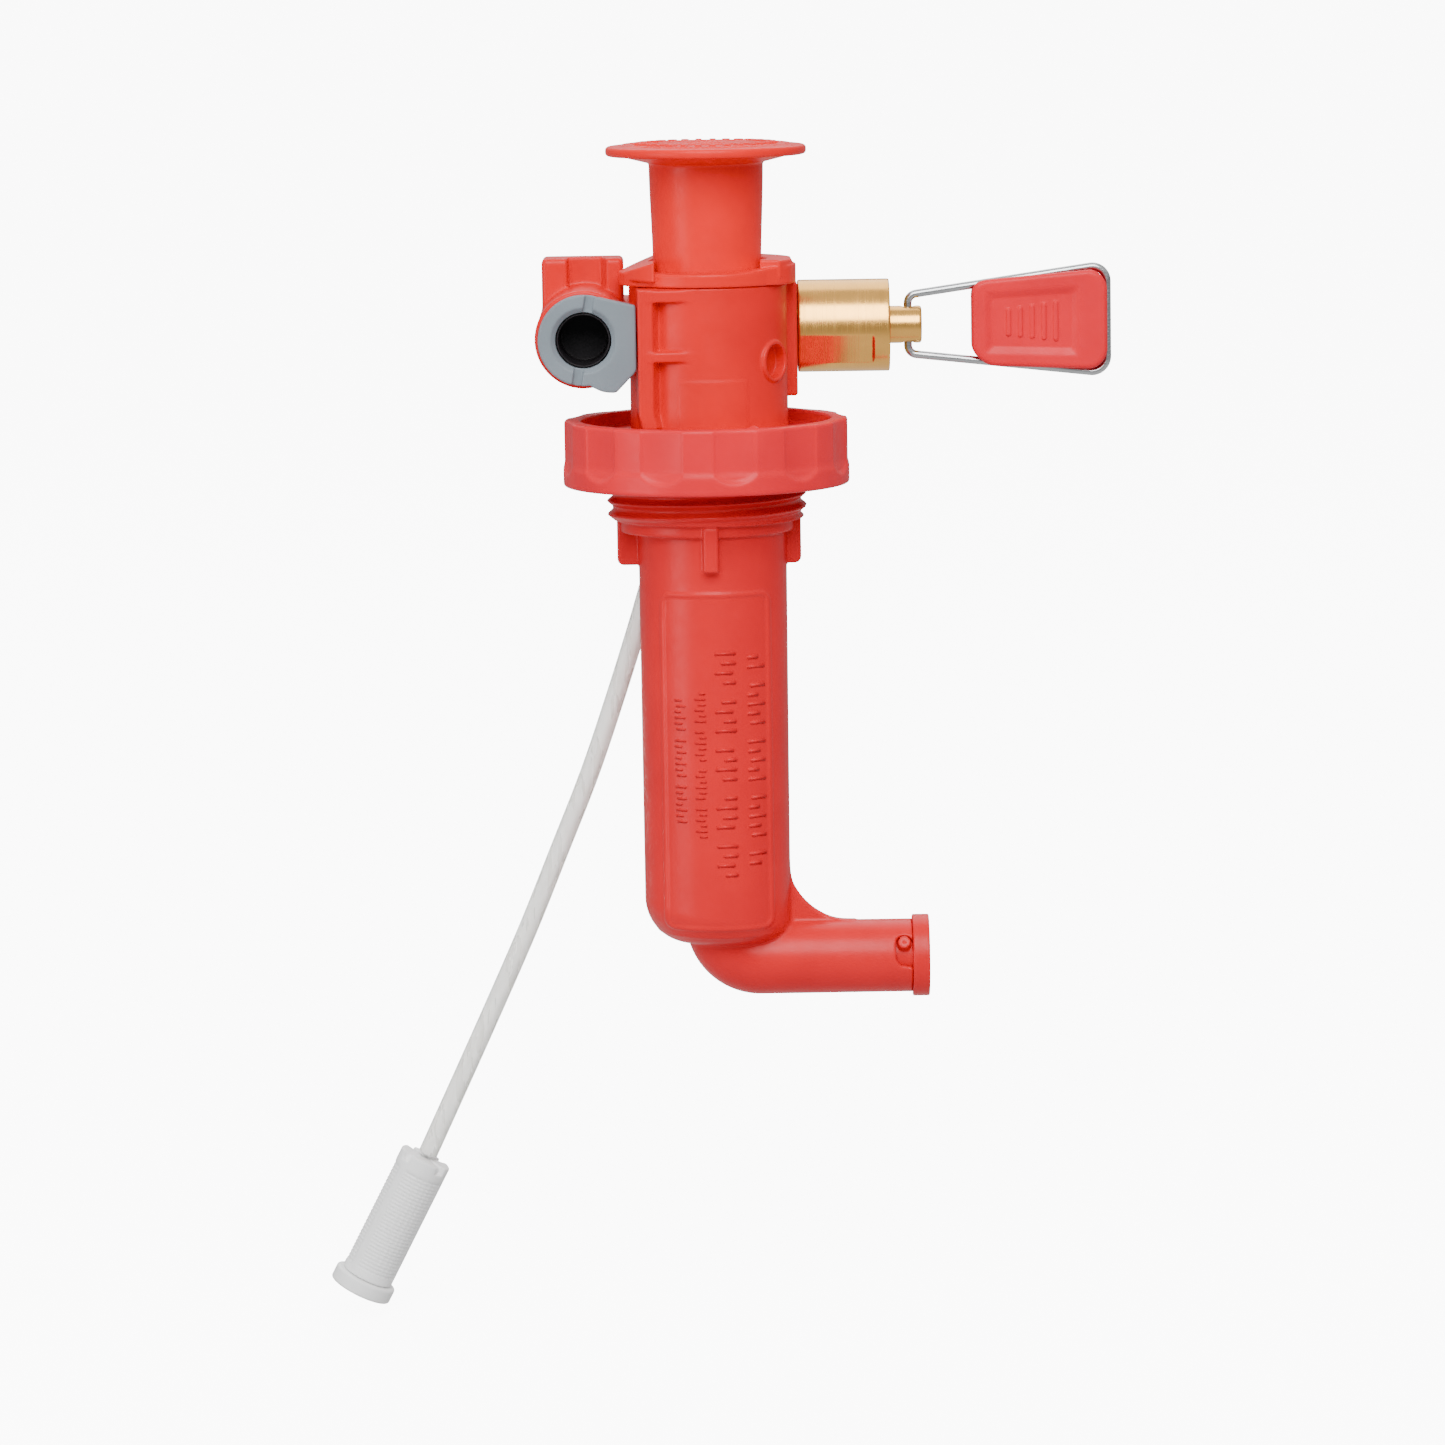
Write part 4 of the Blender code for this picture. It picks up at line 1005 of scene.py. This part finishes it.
def nut_field(x, y, z):
    """Round nut with two spanner flats, its bush in the head and a bore for the stem."""
    rho = from_axis(y - VALVE_Y, z - VALVE_Z)
    nut = drum(rho, x, NUT_RADIUS, 14.95, NUT_HIGH[0], 0.28)
    for angle in NUT_FLAT_TURNS:
        out = -(y - VALVE_Y) * math.cos(angle) + (z - VALVE_Z) * math.sin(angle)
        nut = without(nut, np.maximum(NUT_FLAT - out, x - (NUT_HIGH[0] - 2.7)), 0.06)
    nut = union(nut, drum(rho, x, 5.2, 7.5, 16.0, 0.2), 0.2)
    nut = union(nut, drum(rho, x, 4.0, 20.0, NUT_HIGH[0] + 0.12, 0.1), 0.1)
    return without(nut, rho - (STEM_RADIUS + 0.3), 0.3)


def stem_field(x, y, z):
    """Stem with a conical tip, an O-ring groove and a cross hole for the wire."""
    rho = from_axis(y - VALVE_Y, z - VALVE_Z)
    stem = drum(rho, x, STEM_RADIUS, 4.8, STEM_HIGH[0], 0.45)
    tip = turned_profile(rho, x, [(-1.0, 2.85), (1.0, 2.85), (STEM_RADIUS, 4.85),
                                  (STEM_RADIUS, 6.5), (-1.0, 6.5)])
    stem = union(stem, tip, 0.2)
    seal = np.maximum(slab(x, 10.9, 12.5), 2.2 - rho)
    stem = without(stem, seal, 0.2)
    hole = from_axis(x - HINGE_X, y - VALVE_Y)
    return without(stem, hole - (WIRE_RADIUS + 0.3), 0.4)


def make_valve():
    high = [NUT_HIGH[0] + 0.2, *NUT_HIGH[1:]]
    moulding("nut_body", nut_field, NUT_LOW, high, 0.2, "pump_body", BRASS, "brass", "valve_nut")
    moulding("stem_body", stem_field, STEM_LOW, STEM_HIGH, 0.16, "valve_spindle", BRASS, "brass",
             "valve_stem")


def arc(centre, radius, start, end, count):
    """Points along an arc, from one angle in degrees to another."""
    angles = [math.radians(start + (end - start) * index / (count - 1)) for index in range(count)]
    return [
        (centre[0] + radius * math.cos(angle), centre[1] + radius * math.sin(angle))
        for angle in angles
    ]


BAIL_NEAR = 4.9                # half height of the loop by the stem
BAIL_FAR = 8.45                # half height of the loop at its far end
BAIL_END = 64.75
BAIL_RISE = 0.014              # the loop rides up a little as it runs out
BAIL_BEND = 1.5
BAIL_CORNER = 2.4
GRIP_HALF = 2.15               # half the tag's thickness
GRIP_FLOOR = 1.65              # from the middle to the sunk panel's floor
GRIP_RIBS = 5
GRIP_RIB_GAP = 1.9


def bail_outline():
    """Centreline of the wire in X and height above the valve's axis."""
    lean = math.degrees(math.atan2(BAIL_FAR - BAIL_NEAR, BAIL_END - HINGE_X - BAIL_BEND))
    bend = (HINGE_X + BAIL_BEND, BAIL_NEAR - BAIL_BEND)
    corner = (BAIL_END - BAIL_CORNER, BAIL_FAR - BAIL_CORNER)
    top = [(HINGE_X, 0.35), (HINGE_X, 1.8), (HINGE_X, bend[1])]
    top += arc(bend, BAIL_BEND, 180, 90 + lean, 10)[1:]
    top += arc(corner, BAIL_CORNER, 90 + lean, 0, 14)
    low = [(x, -height) for x, height in reversed(top)]
    return [(x, height + BAIL_RISE * (x - HINGE_X)) for x, height in top + low]


def make_bail():
    points = [(x, VALVE_Y, VALVE_Z + height) for x, height in bail_outline()]
    wire = wire_object("bail_loop", points, WIRE_RADIUS)
    dress(wire, "bail", STEEL, "steel", "bail_wire")
    moulding("grip_moulding", grip_field, GRIP_LOW, GRIP_HIGH, 0.18, "bail", GRIP_RED, "grip_red",
             "bail_grip")


def wire_distance(x, y, z):
    outline = bail_outline()
    nearest = nearest_squared(x, z - VALVE_Z, zip(outline, outline[1:]))
    return np.sqrt(nearest + (y - VALVE_Y) ** 2)


def grip_field(x, y, z):
    """Moulded tag with a sunk, ribbed panel on both sides and a channel for the wire."""
    rise = z - VALVE_Z - BAIL_RISE * (x - HINGE_X)
    tag = convex(x, rise, [(42.9, -4.6), (45.4, -6.95), (62.8, -7.95), (64.7, -6.0), (64.7, 6.1),
                           (62.8, 8.1), (44.0, 6.8), (42.9, 5.7)], 1.0)
    away = np.abs(y - VALVE_Y)
    grip = rounded(tag, away - GRIP_HALF, 0.75)
    sunk = convex(x, rise, [(45.0, -4.9), (60.0, -5.6), (60.0, 5.5), (45.0, 4.9)], 0.7)
    slope = (GRIP_HALF + 0.45 * sunk - away) * 0.9
    grip = without(grip, np.maximum(GRIP_FLOOR - away, slope), 0.15)
    for index in range(GRIP_RIBS):
        bar = panel(x - 48.8 - GRIP_RIB_GAP * index, rise, 0.35, 2.2 + 0.25 * index, 0.3)
        grip = union(grip, rounded(bar, away - 1.95, 0.12), 0.15)
    return without(grip, wire_distance(x, y, z) - WIRE_RADIUS - 0.2, 0.15)


# ---------------------------------------------------------------- fuel port

PORT_FACE_RADIUS = 7.15
PORT_SLOT_TILT = math.radians(9.3)


def port_bushing_field(x, y, z):
    """Grey face with a tab on its right, a bevelled mouth and a split above and below."""
    px = x - PORT_X
    pz = z - PORT_Z
    front = -y
    rho = from_axis(px, pz)
    tab = convex(px, pz, [(1.0, -7.2), (3.0, -8.2), (5.06, -8.3), (8.3, -4.9), (8.3, 5.4),
                          (2.2, 6.85)], 0.4)
    face = rounded(np.minimum(rho - PORT_FACE_RADIUS, tab), slab(front, 9.6, 11.4), 0.25)
    body = union(face, drum(rho, front, 5.3, 4.0, 10.4, 0.2), 0.2)
    bevel = turned_profile(rho, front, [(-1.0, 3.0), (4.4, 3.0), (4.4, 10.7), (5.3, 11.5),
                                        (5.3, 13.0), (-1.0, 13.0)])
    body = without(body, bevel, 0.15)
    across = px * math.cos(PORT_SLOT_TILT) - pz * math.sin(PORT_SLOT_TILT)
    slot = rounded(np.abs(across) - 0.75, 10.6 - front, 0.1)
    return without(body, np.maximum(slot, rho - 8.4), 0.12)


def port_sleeve_field(x, y, z):
    """Black sleeve that lines the port as a blind socket."""
    front = -y
    rho = from_axis(x - PORT_X, z - PORT_Z)
    lining = drum(rho, front, 4.25, 3.0, 10.4, 0.15)
    sleeve = union(lining, drum(rho, front, 5.3, -3.7, 3.7, 0.2), 0.15)
    funnel = turned_profile(rho, front, [(-1.0, 1.0), (3.85, 1.0), (4.0, 12.0), (-1.0, 12.0)])
    return without(sleeve, funnel, 0.10)


def make_port():
    low, high = node_box("port_bushing")
    low[2] -= 0.4
    moulding("port_face", port_bushing_field, low, high, 0.18, "pump_body", GREY, "grey_plastic",
             "port_bushing")
    low, high = node_box("port_seal")
    low[1] = -10.4
    moulding("port_sleeve", port_sleeve_field, low, high, 0.2, "pump_body", RUBBER,
             "black_rubber", "port_seal")


# ---------------------------------------------------------------- check valve cap

BALL_LIFT_ROOM = 2.2           # the spring's end moves this much or less
SPRING_REACH = node_box("check_valve_spring")[1][0] + BALL_LIFT_ROOM


def check_cap_field(x, y, z):
    """Cap with a plug in the elbow, hollow for the spring, and a locking nub."""
    dy = y - CHECK_Y
    dz = z - CHECK_Z
    rho = from_axis(dy, dz)
    cap = drum(rho, x, 6.57, CAP_FLANGE, CAP_HIGH[0], 0.20)
    cap = union(cap, drum(rho, x, 4.6, 23.5, 33.0, 0.25), 0.25)
    out = -dy * math.cos(NUB_ANGLE) + dz * math.sin(NUB_ANGLE)
    across = dy * math.sin(NUB_ANGLE) + dz * math.cos(NUB_ANGLE)
    nub = from_axis(x - NUB_X, across)
    cap = union(cap, drum(nub, out, 1.0, 4.0, 6.15, 0.2), 0.15)
    cap = without(cap, drum(nub, out, 0.18, 5.9, 8.0, 0.1), 0.1)
    cap = without(cap, drum(rho, x, 3.2, 20.0, SPRING_REACH, 0.2), 0.2)
    return without(cap, rho - 1.0, 0.3)


def make_check_cap():
    moulding("check_cap_moulding", check_cap_field, CAP_LOW, CAP_HIGH, 0.2, "check_cap", BARREL_RED,
             "red_moulding", "check_valve_cap")


# ---------------------------------------------------------------- pieces that keep their CAD shape

CAD_LOOKS = {
    "bottle_gasket": RUBBER,
    "pump_cup": RUBBER,
    "nut_oring": RUBBER,
    "stem_oring": RUBBER,
    "check_valve_seat": RUBBER,
    "cup_retainer": STEEL,
    "check_valve_ball": STEEL,
    "check_valve_spring": STEEL,
    "suction_nipple": BRASS,
}


def finish_cad_pieces():
    for name, material in CAD_LOOKS.items():
        mesh = frame["nodes"][name].data
        mesh.materials.clear()
        mesh.materials.append(material)
        mesh.shade_smooth()
        mesh.set_sharp_from_angle(angle=math.radians(30.0))


# ---------------------------------------------------------------- studio

# Places and sizes of the studio are in metres.
FLOOR_DROP = 0.002             # below the object's lowest point
FLOOR_HALF = 30.0
FLOOR_GLOW = 9.0
SKY_LOW = 0.38                 # strength along the horizon
SKY_HIGH = 0.85                # strength overhead and underfoot
LAMP_AIM = (0.0, 0.0, -0.03)
LAMPS = (                      # name, place, size and power
    ("key", (0.0, -0.80, 0.62), 0.70, 13.0),
    ("top", (0.0, 0.75, 0.90), 1.10, 7.0),
    ("fill", (-0.75, -0.55, -0.06), 0.40, 2.5),
)


def make_studio():
    make_floor()
    make_sky()
    for name, place, size, power in LAMPS:
        make_lamp(name, place, size, power)


def make_floor():
    """A pale floor that glows for the camera alone, so that it throws no light on the object."""
    z = CAD_BOX[0][2] - FLOOR_DROP
    half = FLOOR_HALF
    corners = [(-half, -half, z), (half, -half, z), (half, half, z), (-half, half, z)]
    mesh = bpy.data.meshes.new("floor")
    mesh.from_pydata(corners, [], [(0, 1, 2, 3)])
    piece = add_object("floor", mesh)
    piece.visible_diffuse = False
    piece.visible_glossy = False
    material, _, shader = shader_of("floor", (0.90, 0.90, 0.90), 0.9)
    shader.inputs["Emission Color"].default_value = (1.0, 1.0, 1.0, 1.0)
    shader.inputs["Emission Strength"].default_value = FLOOR_GLOW
    mesh.materials.append(material)


def make_sky():
    """Soft light all round, dimmer along the horizon."""
    world = bpy.data.worlds.new("studio")
    world.use_nodes = True
    tree = world.node_tree
    source = tree.nodes.new("ShaderNodeTexCoord")
    parts = tree.nodes.new("ShaderNodeSeparateXYZ")
    tree.links.new(source.outputs["Generated"], parts.inputs["Vector"])
    steep = tree.nodes.new("ShaderNodeMath")
    steep.operation = "ABSOLUTE"
    tree.links.new(parts.outputs["Z"], steep.inputs[0])
    background = tree.nodes["Background"]
    background.inputs["Color"].default_value = (1.0, 1.0, 1.0, 1.0)
    tree.links.new(ranged(tree, steep.outputs["Value"], SKY_LOW, SKY_HIGH, 0.10, 0.50),
                   background.inputs["Strength"])
    bpy.context.scene.world = world


def make_lamp(name, place, size, power):
    data = bpy.data.lights.new(name, "AREA")
    data.shape = "SQUARE"
    data.size = size
    data.energy = power
    light = add_object(name, data)
    light.location = place
    aim = Vector(LAMP_AIM) - Vector(place)
    light.rotation_euler = aim.to_track_quat("-Z", "Y").to_euler()


make_camera()
make_tube(make_filter())
make_barrel()
make_marks()
make_ring()
make_head()
make_bushing()
make_knob()
make_shaft()
make_valve()
make_bail()
make_port()
make_check_cap()
finish_cad_pieces()
make_studio()
